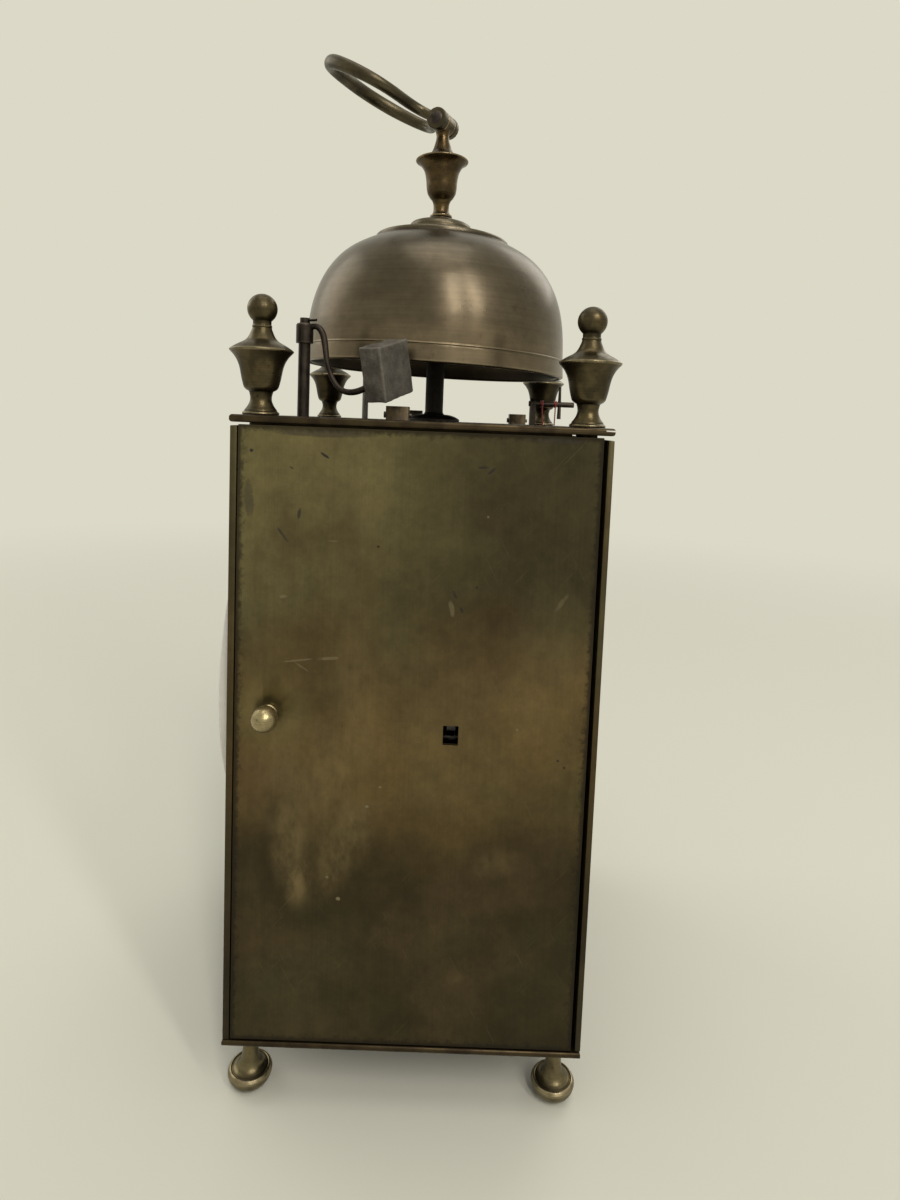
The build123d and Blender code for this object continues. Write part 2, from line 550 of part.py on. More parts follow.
def hammer_cock():
    """The bracket on the front movement plate that carries the foot of the hammer arbor."""
    z = HAMMER_FOOT_Z - 2.6
    arm = block(HAMMER_X - 2.2, HAMMER_X + 4, HAMMER_Y - 4, FP_BACK - MOVE_T, z, z + 2.5)
    foot = block(HAMMER_X + 0.8, HAMMER_X + 4, FP_BACK - MOVE_T - 2.5, FP_BACK - MOVE_T, z - 11, z)
    return arm + foot - post(HAMMER_X, HAMMER_Y, z, z + 2.5, PIVOT_R + FIT)


# ---------------------------------------------------------------- movement frame


def movement_posts():
    posts = []
    for y in (POST_FRONT_Y, POST_BACK_Y):
        for x in (-POST_X, POST_X):
            body = block(x - POST_W / 2, x + POST_W / 2, y - POST_W / 2, y + POST_W / 2, BASE_Z, CEIL_Z)
            body += block(x - TENON_W / 2, x + TENON_W / 2, y - TENON_W / 2, y + TENON_W / 2, FOOT_H, TOP_Z + TENON_UP)
            posts.append(body - tenon_pin(x, y))
    return group(*posts)


def tenon_pin(x, y):
    """A taper pin through the head of a post, lying on the top plate."""
    pin = Cone(1.0, 0.7, TENON_W + 1.8)
    return Pos(x, y, TOP_Z + 1.6) * Rot(-90, 0, 0) * pin


def post_pins():
    return group(*[tenon_pin(x, y) for y in (POST_FRONT_Y, POST_BACK_Y) for x in (-POST_X, POST_X)])


def movement_plate(y0, y1, holes):
    plate = block(-MOVE_X, MOVE_X, y0, y1, MOVE_Z0, MOVE_Z1)
    plate -= block(-10, 10, y0, y1, MOVE_Z0, MOVE_Z0 + 14)
    for (x, z), r in holes:
        plate -= rod(x, z, y0 - 1, y1 + 1, r + FIT)
    return plate


def front_movement_plate():
    holes = [(CENTRE, 1.5), (SECOND, PIVOT_R), (THIRD, PIVOT_R), (PIN, 1.5), (WARN, PIVOT_R), (FLY, PIVOT_R),
             (GOING, WIND_R), (STRIKE, WIND_R), (ALARM, WIND_R), (CROWN, 1.5), ((DETENT_X, DETENT_Z), 1.2)]
    plate = movement_plate(FP_BACK - MOVE_T, FP_BACK, holes)
    bush = rod(*STRIKE, COUNT_Y - 3.6, FP_BACK - MOVE_T, 4.2) - rod(*STRIKE, COUNT_Y - 4, FP_BACK, WIND_R + FIT)
    stud = rod(*MINUTE, MOTION_Y - 8.0, FP_BACK - MOVE_T, 1.2)
    return plate + bush + stud


def back_movement_plate():
    holes = [(CENTRE, PIVOT_R), (SECOND, PIVOT_R), (THIRD, PIVOT_R), (PIN, PIVOT_R), (WARN, PIVOT_R), (FLY, PIVOT_R),
             (GOING, PIVOT_R + 0.6), (STRIKE, PIVOT_R + 0.6), (ESCAPE, PIVOT_R), (ANCHOR, 3.0), ((DETENT_X, DETENT_Z), PIVOT_R)]
    return movement_plate(BP_FRONT, BP_FRONT + MOVE_T, holes)


# ---------------------------------------------------------------- arbors


def arbor(axis, y0, y1, r, front_pivot=None, back_pivot=None):
    """A steel arbor with thinner pivots that end flush with the far side of the plates."""
    body = rod(*axis, y0, y1, r)
    if front_pivot is not None:
        body += rod(*axis, front_pivot, y0, PIVOT_R)
    if back_pivot is not None:
        body += rod(*axis, y1, back_pivot, PIVOT_R)
    return body


FRONT_IN, BACK_IN = FP_BACK + 0.2, BP_FRONT - 0.2
FRONT_OUT, BACK_OUT = FP_BACK - MOVE_T + 0.1, BP_FRONT + MOVE_T - 0.1


def going_barrel():
    drum = rod(*GOING, 0.0, GOING_GREAT_Y - GREAT_T, BARREL_R)
    gear = facing(wheel(GREAT_N, GREAT_M, GREAT_T, toward(GOING, SECOND), hub=BARREL_R - 2, arms=6, rim=1.6),
                  *GOING, GOING_GREAT_Y)
    gear += rod(*GOING, GOING_GREAT_Y - GREAT_T, GOING_GREAT_Y, BARREL_R)
    return drum + gear - rod(*GOING, -1, GOING_GREAT_Y + 1, WIND_R + FIT)


def strike_barrel():
    drum = rod(*STRIKE, STRIKE_GREAT_Y, 20.0, BARREL_R)
    gear = facing(wheel(GREAT_N, GREAT_M, GREAT_T, toward(STRIKE, PIN), hub=BARREL_R - 2, arms=6, rim=1.6),
                  *STRIKE, STRIKE_GREAT_Y)
    gear += rod(*STRIKE, STRIKE_GREAT_Y - GREAT_T, STRIKE_GREAT_Y, BARREL_R)
    return drum + gear - rod(*STRIKE, STRIKE_GREAT_Y - GREAT_T - 1, 21, WIND_R + FIT)


def winding_arbor(axis, back_shoulder):
    """The barrel arbor, with its ratchet wheel behind the front plate and a square for the key."""
    body = rod(*axis, -52.0, back_shoulder, WIND_R) + rod(*axis, back_shoulder, BACK_OUT, PIVOT_R + 0.6)
    body += square_rod(*axis, -61.5, -52.0, WIND_SQUARE)
    teeth = extrude(tooth_ring(RATCHET_N, RATCHET_R - 1.5, RATCHET_R, 0.86, 0.1, 0, lean=7.0), RATCHET_T)
    return body + facing(teeth, *axis, RATCHET_Y)


def click(axis):
    """The pawl that holds a ratchet wheel, just lifted, with its screw stud let into the front movement plate."""
    px, pz = CLICK_PIVOT
    pawl = make_face(Polyline(
        polar(RATCHET_R - CLICK_BITE, 98.8), polar(RATCHET_R + 1.0, 98.8), (px + 0.6, pz + 2.1), (px - 1.6, pz + 1.5),
        (px - 2.1, pz - 0.6), (px - 0.6, pz - 2.1), (px + 1.2, pz - 2.0), polar(RATCHET_R + 0.8, 116.0),
        polar(RATCHET_R + 0.25, 104.5), close=True))
    pawl = Pos(px, pz) * Rot(0, 0, CLICK_DROP) * Pos(-px, -pz) * pawl
    body = facing(extrude(pawl, RATCHET_T), *axis, RATCHET_Y)
    return body + rod(axis[0] + px, axis[1] + pz, FP_BACK + 0.2, RATCHET_Y - RATCHET_T, 1.6)


def second_wheel():
    body = arbor(SECOND, FRONT_IN, BACK_IN, 1.6, FRONT_OUT, BACK_OUT)
    body += facing(pinion(GREAT_LEAVES, GREAT_M, 3.4, leaf_phase(SECOND, GOING, GREAT_LEAVES)), *SECOND, GOING_GREAT_Y + 0.4)
    return body + facing(wheel(SECOND_N, SECOND_M, 1.6, toward(SECOND, CENTRE)), *SECOND, SECOND_Y)


def centre_wheel():
    body = rod(*CENTRE, -71.0, BACK_IN, 1.5) + rod(*CENTRE, BACK_IN, BACK_OUT, PIVOT_R)
    body += facing(pinion(CENTRE_LEAVES, SECOND_M, 2.6, leaf_phase(CENTRE, SECOND, CENTRE_LEAVES)), *CENTRE, SECOND_Y + 0.5)
    return body + facing(wheel(CENTRE_N, CENTRE_M, 1.5, toward(CENTRE, THIRD)), *CENTRE, CENTRE_Y)


def third_wheel():
    body = arbor(THIRD, FRONT_IN, BACK_IN, 0.95, FRONT_OUT, BACK_OUT)
    body += facing(pinion(THIRD_LEAVES, CENTRE_M, 2.6, leaf_phase(THIRD, CENTRE, THIRD_LEAVES)), *THIRD, CENTRE_Y + 0.5)
    return body + facing(wheel(THIRD_N, THIRD_M, 1.4, toward(THIRD, ESCAPE), hub=3.2, arm_w=2.0), *THIRD, THIRD_Y)


def escape_wheel():
    body = arbor(ESCAPE, 9.7, BACK_IN, 0.8, 7.6)
    body += rod(*ESCAPE, BACK_IN, BACK_OUT, PIVOT_R - 0.2)
    body += facing(pinion(ESCAPE_LEAVES, THIRD_M, 2.6, leaf_phase(ESCAPE, THIRD, ESCAPE_LEAVES)), *ESCAPE, THIRD_Y + 0.5)
    face = tooth_ring(ESCAPE_N, ESCAPE_R - 2.0, ESCAPE_R, 0.30, 0.10, 0)
    for window in crossing(2.6, ESCAPE_R - 3.4, 4, 1.6):
        face -= window
    return body + facing(extrude(face, 1.2), *ESCAPE, ESCAPE_Y)


CRUTCH_Z = DIAL_Z - 6.0


def anchor():
    """The anchor with its arbor, the crutch that hangs from it and the loop round the pendulum rod."""
    lift = ANCHOR[1] - ESCAPE[1]
    tip = ESCAPE_R / sqrt(2)
    half = [(0, 3.2), (4.2, 1.0), (9.4, -3.6), (tip + 1.12, -lift + tip + 0.74), (tip + 0.30, -lift + tip - 0.10),
            (tip - 0.06, -lift + tip + 0.26), (tip + 0.72, -lift + tip + 1.06), (7.4, -4.8), (3.2, -2.4), (0, -2.8)]
    outline = half + [(-x, z) for x, z in reversed(half[1:-1])]
    arms = facing(extrude(make_face(Polyline(*outline, close=True)), 2.0), *ANCHOR, ESCAPE_Y + 0.4)
    body = arms + rod(*ANCHOR, 17.2, 36.8, 1.2) + rod(*ANCHOR, 14.6, 17.2, PIVOT_R) + rod(*ANCHOR, 36.8, 38.9, PIVOT_R)
    body += rod(*ANCHOR, 33.4, 35.6, 2.4)
    rod_top = post(0, 34.5, CRUTCH_Z, ANCHOR[1], 0.8)
    foot = rod(0, CRUTCH_Z, 33.7, 43.4, 0.8)
    fork = block(-3.0, 3.0, 43.0, 48.0, CRUTCH_Z - 0.8, CRUTCH_Z + 0.8)
    fork -= block(-1.3, 1.3, 44.0, 47.0, CRUTCH_Z - 2, CRUTCH_Z + 2)
    return body + rod_top + foot + fork


def escapement_potence():
    """The inner bracket that carries the front pivots of the escape wheel and the anchor."""
    y0, y1 = 7.5, 9.5
    low, high = DIAL_Z + 46.0, DIAL_Z + 54.0
    plate = block(-17.0, 17.0, y0, y1, low, high) + block(-4.0, 4.0, y0, y1, ESCAPE[1] - 4.0, low + 1)
    plate -= rod(*ESCAPE, y0 - 1, y1 + 1, PIVOT_R + FIT)
    plate += block(-4.0, 4.0, y1, 16.8, low + 1, low + 5) + block(-4.0, 4.0, 14.4, 16.8, ANCHOR[1] - 3.5, low + 3)
    plate -= rod(*ANCHOR, 14, 17, PIVOT_R + FIT)
    for x in (-13.5, 13.5):
        plate += rod(x, low + 4, y1, BP_FRONT, 2.2)
    return plate


def back_cock():
    """The bridge behind the back movement plate that carries the back pivot of the anchor."""
    y0, y1 = 37.0, 39.0
    cock = block(-15.0, 15.0, y0, y1, ANCHOR[1] - 5.0, ANCHOR[1] + 5.0)
    for x in (-12.0, 12.0):
        cock += rod(x, ANCHOR[1], BP_FRONT + MOVE_T, y0, 2.4)
    return cock - rod(*ANCHOR, y0 - 1, y1 + 1, PIVOT_R + FIT)


# ---------------------------------------------------------------- strike train


def pin_wheel():
    """The second wheel of the strike, with the eight-armed star that lifts the hammer and the report pinion."""
    body = arbor(PIN, -24.4, BACK_IN, 1.5, None, BACK_OUT)
    body += facing(pinion(GREAT_LEAVES, GREAT_M, 3.4, leaf_phase(PIN, STRIKE, GREAT_LEAVES)), *PIN, STRIKE_GREAT_Y + 0.4)
    gear = facing(wheel(PIN_N, PIN_M, 1.7, toward(PIN, WARN)), *PIN, PINWHEEL_Y)
    for k in range(4):
        x, z = polar(14.0, 45 + 90 * k)
        gear += rod(PIN[0] + x, PIN[1] + z, PINWHEEL_Y, PINWHEEL_Y + 2.6, 0.8)
    body += facing(pinion(REPORT_LEAVES, COUNT_M, 2.2, leaf_phase(PIN, STRIKE, REPORT_LEAVES)), *PIN, COUNT_Y + 0.4)
    star = extrude(tooth_ring(STAR_ARMS, 3.6, STAR_R, 0.62, 0.14, 180.0 / STAR_ARMS), 1.4)
    return body + gear + facing(star, *PIN, STAR_Y)


def warning_wheel():
    body = arbor(WARN, FRONT_IN, BACK_IN, 1.2, FRONT_OUT, BACK_OUT)
    body += facing(pinion(WARN_LEAVES, PIN_M, 2.8, leaf_phase(WARN, PIN, WARN_LEAVES)), *WARN, PINWHEEL_Y + 0.5)
    gear = facing(wheel(WARN_N, WARN_M, 1.4, toward(WARN, FLY), hub=3.4), *WARN, WARN_Y)
    x, z = polar(WARN_N * WARN_M / 2 - 1.9, 225)
    return body + gear + rod(WARN[0] + x, WARN[1] + z, WARN_Y, WARN_Y + 3.0, 0.6)


def fly():
    body = arbor(FLY, FRONT_IN, BACK_IN, 0.9, FRONT_OUT, BACK_OUT)
    body += facing(pinion(FLY_LEAVES, WARN_M, 2.6, leaf_phase(FLY, WARN, FLY_LEAVES)), *FLY, WARN_Y + 0.5)
    vane = block(FLY[0] - 9.5, FLY[0] + 9.5, 13.0, 25.0, FLY[1] - 0.3, FLY[1] + 0.3)
    return body + vane + rod(*FLY, 12.4, 25.6, 1.5)


def count_wheel():
    """The wheel whose notches count the blows, riding on a bush round the winding arbor."""
    pitch_r = COUNT_N * COUNT_M / 2
    face = tooth_ring(COUNT_N, pitch_r - 1.2 * COUNT_M, pitch_r + 0.95 * COUNT_M, 0.56, 0.16, toward(STRIKE, PIN))
    for window in crossing(7.0, 17.0, 4, 3.0):
        face -= window
    ring = Circle(22.6) - Circle(20.2)
    at = COUNT_START
    for blows in range(1, 13):
        ring -= Rot(0, 0, at) * Pos(22.2, 0) * Rectangle(2.4, 1.5)
        at += 360.0 * blows / COUNT_N
    body = extrude(face, 1.3) + Pos(0, 0, 1.3) * extrude(ring, 1.6) + extrude(Circle(7.2), 2.6)
    return facing(body - Pos(0, 0, 2) * Cylinder(4.2 + FIT, 10), *STRIKE, COUNT_Y)


def strike_detent():
    """The arbor with the blade that drops in the count wheel and the tail behind the slot of the door."""
    axis = (DETENT_X, DETENT_Z)
    body = arbor(axis, FRONT_IN, BACK_IN, 1.2, None, BACK_OUT) + rod(*axis, -21.4, FRONT_IN, 1.2)
    body += rod(*axis, -21.2, -18.8, 2.4) + rod(*axis, 9.8, 13.2, 2.4)
    step = polar(22.9, COUNT_START)
    notch = (STRIKE[0] + step[0], STRIKE[1] + step[1])
    reach = hypot(axis[0] - notch[0], axis[1] - notch[1])
    blade = facing(Rot(0, 0, toward(axis, notch)) * (Pos(reach / 2, 0, 0.6) * Box(reach, 1.4, 1.2)), *axis, -19.4)
    tail = facing(Rot(0, 0, 52) * (Pos(6.6, 0, 1.2) * Box(13.2, 1.6, 2.4)), *axis, 12.7)
    pad = block(57.2, 60.0, 10.3, 12.9, DIAL_Z - 6.8, DIAL_Z - 4.8)
    return body + blade + tail + pad


# ---------------------------------------------------------------- motion work

CANNON_N, MINUTE_N, MINUTE_LEAVES, HOUR_N, MOTION_M = 15, 45, 12, 48, 0.5
_step = polar(distance(MOTION_M, CANNON_N, MINUTE_N), 150.0)
MINUTE = (CENTRE[0] + _step[0], CENTRE[1] + _step[1])


def cannon_pinion():
    pipe = rod(*CENTRE, -70.4, MOTION_Y + 0.4, 2.4)
    teeth = facing(pinion(CANNON_N, MOTION_M, 2.6, leaf_phase(CENTRE, MINUTE, CANNON_N)), *CENTRE, MOTION_Y + 0.4)
    return pipe + teeth - rod(*CENTRE, -72, MOTION_Y + 1, 1.5 + FIT)


def minute_wheel():
    gear = facing(wheel(MINUTE_N, MOTION_M, 1.3, toward(MINUTE, CENTRE), hub=3.6, arm_w=2.0, rim=1.6), *MINUTE, MOTION_Y)
    gear += facing(pinion(MINUTE_LEAVES, MOTION_M, 4.0, leaf_phase(MINUTE, CENTRE, MINUTE_LEAVES)), *MINUTE, MOTION_Y - 1.3)
    return gear - rod(*MINUTE, MOTION_Y - 9, MOTION_Y + 1, 1.2 + FIT)


def hour_wheel():
    gear = facing(wheel(HOUR_N, MOTION_M, 1.3, toward(CENTRE, MINUTE), hub=4.6, arm_w=2.2, rim=1.6), *CENTRE, MOTION_Y - 3.2)
    pipe = rod(*CENTRE, -68.2, MOTION_Y - 3.2, 3.4)
    return gear + pipe - rod(*CENTRE, -72, MOTION_Y + 1, 2.4 + FIT)


# ---------------------------------------------------------------- alarm


def alarm_barrel():
    """The standing drum that holds the alarm spring, fixed behind the front movement plate."""
    drum = rod(*ALARM, FP_BACK, -3.2, 12.0)
    return drum - rod(*ALARM, FP_BACK - 1, -2, WIND_R + FIT)


def alarm_great_wheel():
    body = rod(*ALARM, -52.0, BRIDGE_Y - 0.2, WIND_R) + rod(*ALARM, BRIDGE_Y - 0.2, BRIDGE_Y + BRIDGE_T - 0.1, PIVOT_R)
    body += square_rod(*ALARM, -61.5, -52.0, WIND_SQUARE)
    return body + facing(wheel(ALARM_N, ALARM_M, 1.4, toward(ALARM, CROWN)), *ALARM, ALARM_GREAT_Y)


def alarm_crown_wheel():
    body = rod(*CROWN, -19.0, BRIDGE_Y - 0.2, 1.5) + rod(*CROWN, BRIDGE_Y - 0.2, BRIDGE_Y + BRIDGE_T - 0.1, PIVOT_R)
    body += facing(pinion(ALARM_LEAVES, ALARM_M, 2.4, leaf_phase(CROWN, ALARM, ALARM_LEAVES)), *CROWN, ALARM_GREAT_Y + 0.5)
    disc = rod(*CROWN, -18.0, -16.8, CROWN_R)
    band = rod(*CROWN, -22.6, -18.0, CROWN_R) - rod(*CROWN, -23, -18.0, CROWN_R - 1.0)
    for k in range(CROWN_N):
        turn = 90 + (k + 0.5) * 360.0 / CROWN_N
        gap = Pos(CROWN_R - 0.5, 0, 2.9) * Box(3, 1.9, 3.6)
        band -= facing(Rot(0, 0, turn) * gap, *CROWN, -18.0)
    return body + disc + band


def alarm_verge():
    """The upright verge with its two pallets, and the hammer it swings inside the bell."""
    low = CROWN_Z - CROWN_R - 4.0
    staff = post(0, VERGE_Y, low, TOP_Z + 31.0, VERGE_R) + post(0, VERGE_Y, low - 2.4, low, 0.8)
    for z, turn in ((CROWN_Z + CROWN_R - 0.5, 50.0), (CROWN_Z - CROWN_R + 0.5, 130.0)):
        flag = Pos(0, VERGE_Y, z) * Rot(0, 0, turn) * (Pos(1.3, 0, 0) * Box(1.8, 0.6, 1.8))
        staff += flag
    arm = Pos(0, VERGE_Y, TOP_Z + 29.6) * Rot(0, 0, 180) * (Pos(13.7, 0, 0) * Rot(0, 90, 0) * Cylinder(0.9, 27.4))
    head = Pos(-27.4, VERGE_Y, TOP_Z + 29.6) * Rot(90, 0, 0) * Cylinder(3.0, 7.0)
    return staff + arm - head, head


def alarm_bridge():
    """The bridge that carries the back pivots of the alarm, on two pillars from the front movement plate."""
    y0, y1 = BRIDGE_Y, BRIDGE_Y + BRIDGE_T
    low, high = DIAL_Z + 55.0, DIAL_Z + 65.0
    bridge = block(-22.0, 22.0, y0, y1, low, high) + block(-4.5, 4.5, y0, y1, ALARM[1] - 5.0, low + 4)
    bridge -= rod(*ALARM, y0 - 1, y1 + 1, PIVOT_R + FIT)
    bridge -= rod(*CROWN, y0 - 1, y1 + 1, PIVOT_R + FIT)
    for x in (-19.0, 19.0):
        bridge += rod(x, low + 5, FP_BACK, y0, 2.0)
    return bridge


def alarm_verge_cock():
    z1 = CROWN_Z - CROWN_R - 4.1
    arm = block(-3.0, 3.0, VERGE_Y - 3.0, FP_BACK - MOVE_T, z1 - 1.5, z1)
    foot = block(-9.0, 9.0, FP_BACK - MOVE_T - 1.6, FP_BACK - MOVE_T, z1 - 1.5, z1 + 1.2)
    return arm + foot - post(0, VERGE_Y, z1 - 3, z1 + 3, 0.8 + FIT)


# ---------------------------------------------------------------- suspension and pendulum


def suspension_cock():
    """The thin upright that carries the suspension arbor, riveted in the top plate."""
    upright = block(-2.0, 2.0, SUSP_Y0 - 0.4, SUSP_Y0 + 1.6, CEIL_Z - 0.8, SUSP_Z)
    upright += rod(0, SUSP_Z, SUSP_Y0 - 0.4, SUSP_Y0 + 1.6, 2.0)
    return upright - rod(0, SUSP_Z, SUSP_Y0 - 1, SUSP_Y0 + 2, SUSP_R + FIT)


def suspension_arbor():
    shaft = rod(0, SUSP_Z, SUSP_Y0 - 0.9, SUSP_Y1, SUSP_R)
    cross = Pos(0, 48.0, SUSP_Z + 0.6) * Cone(0.75, 0.45, 12.0)
    return shaft - cross, cross


def silk_thread():
    """The two strands that leave the suspension arbor and meet at the pendulum hook."""
    strands = []
    for y in (41.4, 46.4):
        top, low = Vector(SUSP_R, y, SUSP_Z - SUSP_R - 0.4), Vector(0.0, ROD_Y, ROD_TOP_Z + 2.6)
        line = Line(top, low)
        strands.append(sweep(Plane(origin=line @ 0, z_dir=line % 0) * Circle(THREAD_R), line))
    return strands[0] + strands[1]


def pendulum_rod():
    hook = Pos(0, ROD_Y, ROD_TOP_Z + 1.2) * Rot(0, 90, 0) * Torus(1.9, 0.6)
    return post(0, ROD_Y, BOB_Z - BOB_R - 3.0, ROD_TOP_Z, 0.8) + hook - silk_thread()


def pendulum_bob():
    bob = turned((0, -4.0), ("curve", (5.5, -3.4), (10.0, -2.2), (BOB_R, 0)), ("curve", (10.0, 2.2), (5.5, 3.4), (0, 4.0)))
    return facing(bob, 0, BOB_Z, ROD_Y) - post(0, ROD_Y, BOB_Z - BOB_R - 1, BOB_Z + BOB_R + 1, 0.8)


# ---------------------------------------------------------------- all parts


def build_parts():
    door, rod_solid = right_door()
    arm, arm_pin = hammer_arm()
    verge, verge_head = alarm_verge()
    shaft, cross = suspension_arbor()
    parts = {
        "bottom_plate": bottom_plate(),
        "top_plate": top_plate(),
        "corner_pillars": corner_pillars(),
        "corner_finials": corner_finials(),
        "feet": feet(),
        "front_plate": front_plate(),
        "back_panel": back_panel(),
        "right_door": group(door - side_slot(), rod_solid),
        "left_door": group(mirrored(door), mirrored(rod_solid)),
        "right_door_knob": door_knob(),
        "left_door_knob": mirrored(door_knob()),
        "dial": dial(),
        "dial_ring": dial_ring(),
        "hour_hand": hour_hand(),
        "minute_hand": minute_hand(),
        "alarm_disc": alarm_disc(),
        "bell_stand": bell_stand(),
        "bell": bell(),
        "bell_washer": bell_washer(),
        "bell_finial": bell_finial(),
        "handle_pin": handle_pin(),
        "handle": handle(),
        "hammer_arbor": hammer_arbor(),
        "hammer_arm": group(arm, arm_pin),
        "hammer_head": hammer_head_solid(),
        "hammer_cock": hammer_cock(),
        "movement_posts": movement_posts(),
        "post_pins": post_pins(),
        "front_movement_plate": front_movement_plate(),
        "back_movement_plate": back_movement_plate(),
        "going_barrel": going_barrel(),
        "going_winding_arbor": winding_arbor(GOING, BACK_IN),
        "going_click": click(GOING),
        "second_wheel": second_wheel(),
        "centre_wheel": centre_wheel(),
        "third_wheel": third_wheel(),
        "escape_wheel": escape_wheel(),
        "anchor": anchor(),
        "escapement_potence": escapement_potence(),
        "back_cock": back_cock(),
        "strike_barrel": strike_barrel(),
        "strike_winding_arbor": winding_arbor(STRIKE, BACK_IN),
        "strike_click": click(STRIKE),
        "pin_wheel": pin_wheel(),
        "warning_wheel": warning_wheel(),
        "fly": fly(),
        "count_wheel": count_wheel(),
        "strike_detent": strike_detent(),
        "cannon_pinion": cannon_pinion(),
        "minute_wheel": minute_wheel(),
        "hour_wheel": hour_wheel(),
        "alarm_barrel": alarm_barrel(),
        "alarm_great_wheel": alarm_great_wheel(),
        "alarm_crown_wheel": alarm_crown_wheel(),
        "alarm_verge": group(verge, verge_head),
        "alarm_bridge": group(alarm_bridge(), alarm_verge_cock()),
        "suspension_cock": suspension_cock(),
        "suspension_arbor": group(shaft, cross),
        "silk_thread": silk_thread(),
        "pendulum": group(pendulum_rod(), pendulum_bob()),
    }
    return parts


def main():
    os.makedirs("parts", exist_ok=True)
    for name, shape in build_parts().items():
        export_step(shape, f"parts/{name}.step")


if __name__ == "__main__":
    main()
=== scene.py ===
"""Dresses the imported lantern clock: turned brass, bell, enamel dial, hammer, finishes, light and camera.

Lengths are in millimetres until a piece is finished, when its mesh is put in metres in the frame's own place.
+Z is up, -Y is out through the dial and +X is to the right as the dial is read.
"""

from __future__ import annotations

import json
import logging
import math
from dataclasses import dataclass, field
from enum import Enum
from typing import Iterable, Sequence, Union

import bmesh
import bpy
import numpy as np
from mathutils import Matrix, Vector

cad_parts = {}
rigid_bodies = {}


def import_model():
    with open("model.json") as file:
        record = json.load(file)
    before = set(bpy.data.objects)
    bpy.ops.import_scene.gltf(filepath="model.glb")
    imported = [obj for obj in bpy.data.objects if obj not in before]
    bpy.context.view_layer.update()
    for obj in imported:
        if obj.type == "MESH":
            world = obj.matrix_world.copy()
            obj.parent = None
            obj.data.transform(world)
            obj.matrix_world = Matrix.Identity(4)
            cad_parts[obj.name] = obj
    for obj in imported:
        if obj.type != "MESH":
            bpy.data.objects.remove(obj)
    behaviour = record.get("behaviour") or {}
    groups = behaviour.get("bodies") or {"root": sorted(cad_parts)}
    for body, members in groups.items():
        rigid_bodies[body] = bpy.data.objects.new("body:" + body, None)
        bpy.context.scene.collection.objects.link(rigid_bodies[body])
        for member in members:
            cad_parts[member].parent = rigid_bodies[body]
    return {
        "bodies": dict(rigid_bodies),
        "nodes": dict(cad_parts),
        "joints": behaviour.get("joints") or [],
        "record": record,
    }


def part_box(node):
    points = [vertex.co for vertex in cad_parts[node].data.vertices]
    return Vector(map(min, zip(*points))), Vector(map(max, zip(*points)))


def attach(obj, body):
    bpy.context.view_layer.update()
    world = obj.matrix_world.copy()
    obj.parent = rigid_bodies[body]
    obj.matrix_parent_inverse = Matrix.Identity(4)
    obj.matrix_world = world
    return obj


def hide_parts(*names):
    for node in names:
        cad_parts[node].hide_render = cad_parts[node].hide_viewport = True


LOG = logging.getLogger("lantern_clock")
MM = 0.001

NEARLY_STRAIGHT = -0.94  # cosine at a corner below which it stays as it is
CUT_SHARE = 0.45  # most of a side that the softening of one corner takes
WEAR_REACH = 0.45  # how far on either side of a point its bend is measured
FULL_WEAR_TURN = 1.3  # bend, in radians, that counts as a sharp edge
ON_AXIS = 1e-6  # radius below which an outline starts on its axis
SEAM_DIGITS = 4  # decimals to which two corners of a block agree where they are one
SAME_CORNER = 1e-4  # distance within which two corners of a cut-out piece are one
SAME_NODE_POINT = 2e-6  # distance in metres within which two points of a node are one
FLAT_DEGREES = 0.5  # bend below which two faces of a node become one
ROUNDED_DEGREES = 50  # bend above which an edge of a node is rounded
CREASE_DEGREES = 28  # bend above which an edge of a rounded node stays sharp
DRILLED_CREASE = 35  # the same for the drilled dial

Array = np.ndarray
Point = tuple[float, ...]
Colour = tuple[float, float, float]
Socket = bpy.types.NodeSocket
Input = Union[Socket, float, int, tuple]


# ---- places


def shift(x: float, y: float, z: float) -> Array:
    """Moves along the three axes.

    Args:
        x: how far to the right, in millimetres.
        y: how far back.
        z: how far up.

    Returns:
        The 4x4 matrix of the move.
    """
    matrix = np.eye(4)
    matrix[:3, 3] = (x, y, z)
    return matrix


def turn(axis: str, degrees: float) -> Array:
    """A 4x4 matrix that turns by the right-hand rule about X, Y or Z."""
    return np.array(Matrix.Rotation(math.radians(degrees), 4, axis))


def placed(points: Array, matrix: Array) -> Array:
    """Points of any grid shape, carried by a 4x4 matrix."""
    return points @ matrix[:3, :3].T + matrix[:3, 3]


def facing(x: float, z: float, y_back: float) -> Array:
    """Stands a piece drawn flat in XY up against the plane y_back, so that it is seen from the dial side."""
    return shift(x, y_back, z) @ turn("X", 90)


def node_box(node: str) -> tuple[Array, Array]:
    """Lowest and highest corner of a CAD node, in millimetres."""
    low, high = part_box(node)
    return np.array(low) / MM, np.array(high) / MM


# ---- outlines


class Run(Enum):
    """How an outline goes on through its next points."""

    LINE = "straight"
    ARC = "arc"
    CURVE = "curve"


LINE, ARC, CURVE = Run


def line_points(corners: Array, gap: float) -> Array:
    """Points on straight runs between corners, each run cut in equal steps.

    Args:
        corners: the corners, one in each row.
        gap: the longest step.

    Returns:
        The points, one in each row.
    """
    runs = [
        np.linspace(a, b, max(2, int(np.ceil(np.linalg.norm(b - a) / gap)) + 1))[1:]
        for a, b in zip(corners[:-1], corners[1:])
    ]
    return np.vstack([corners[:1], *runs])


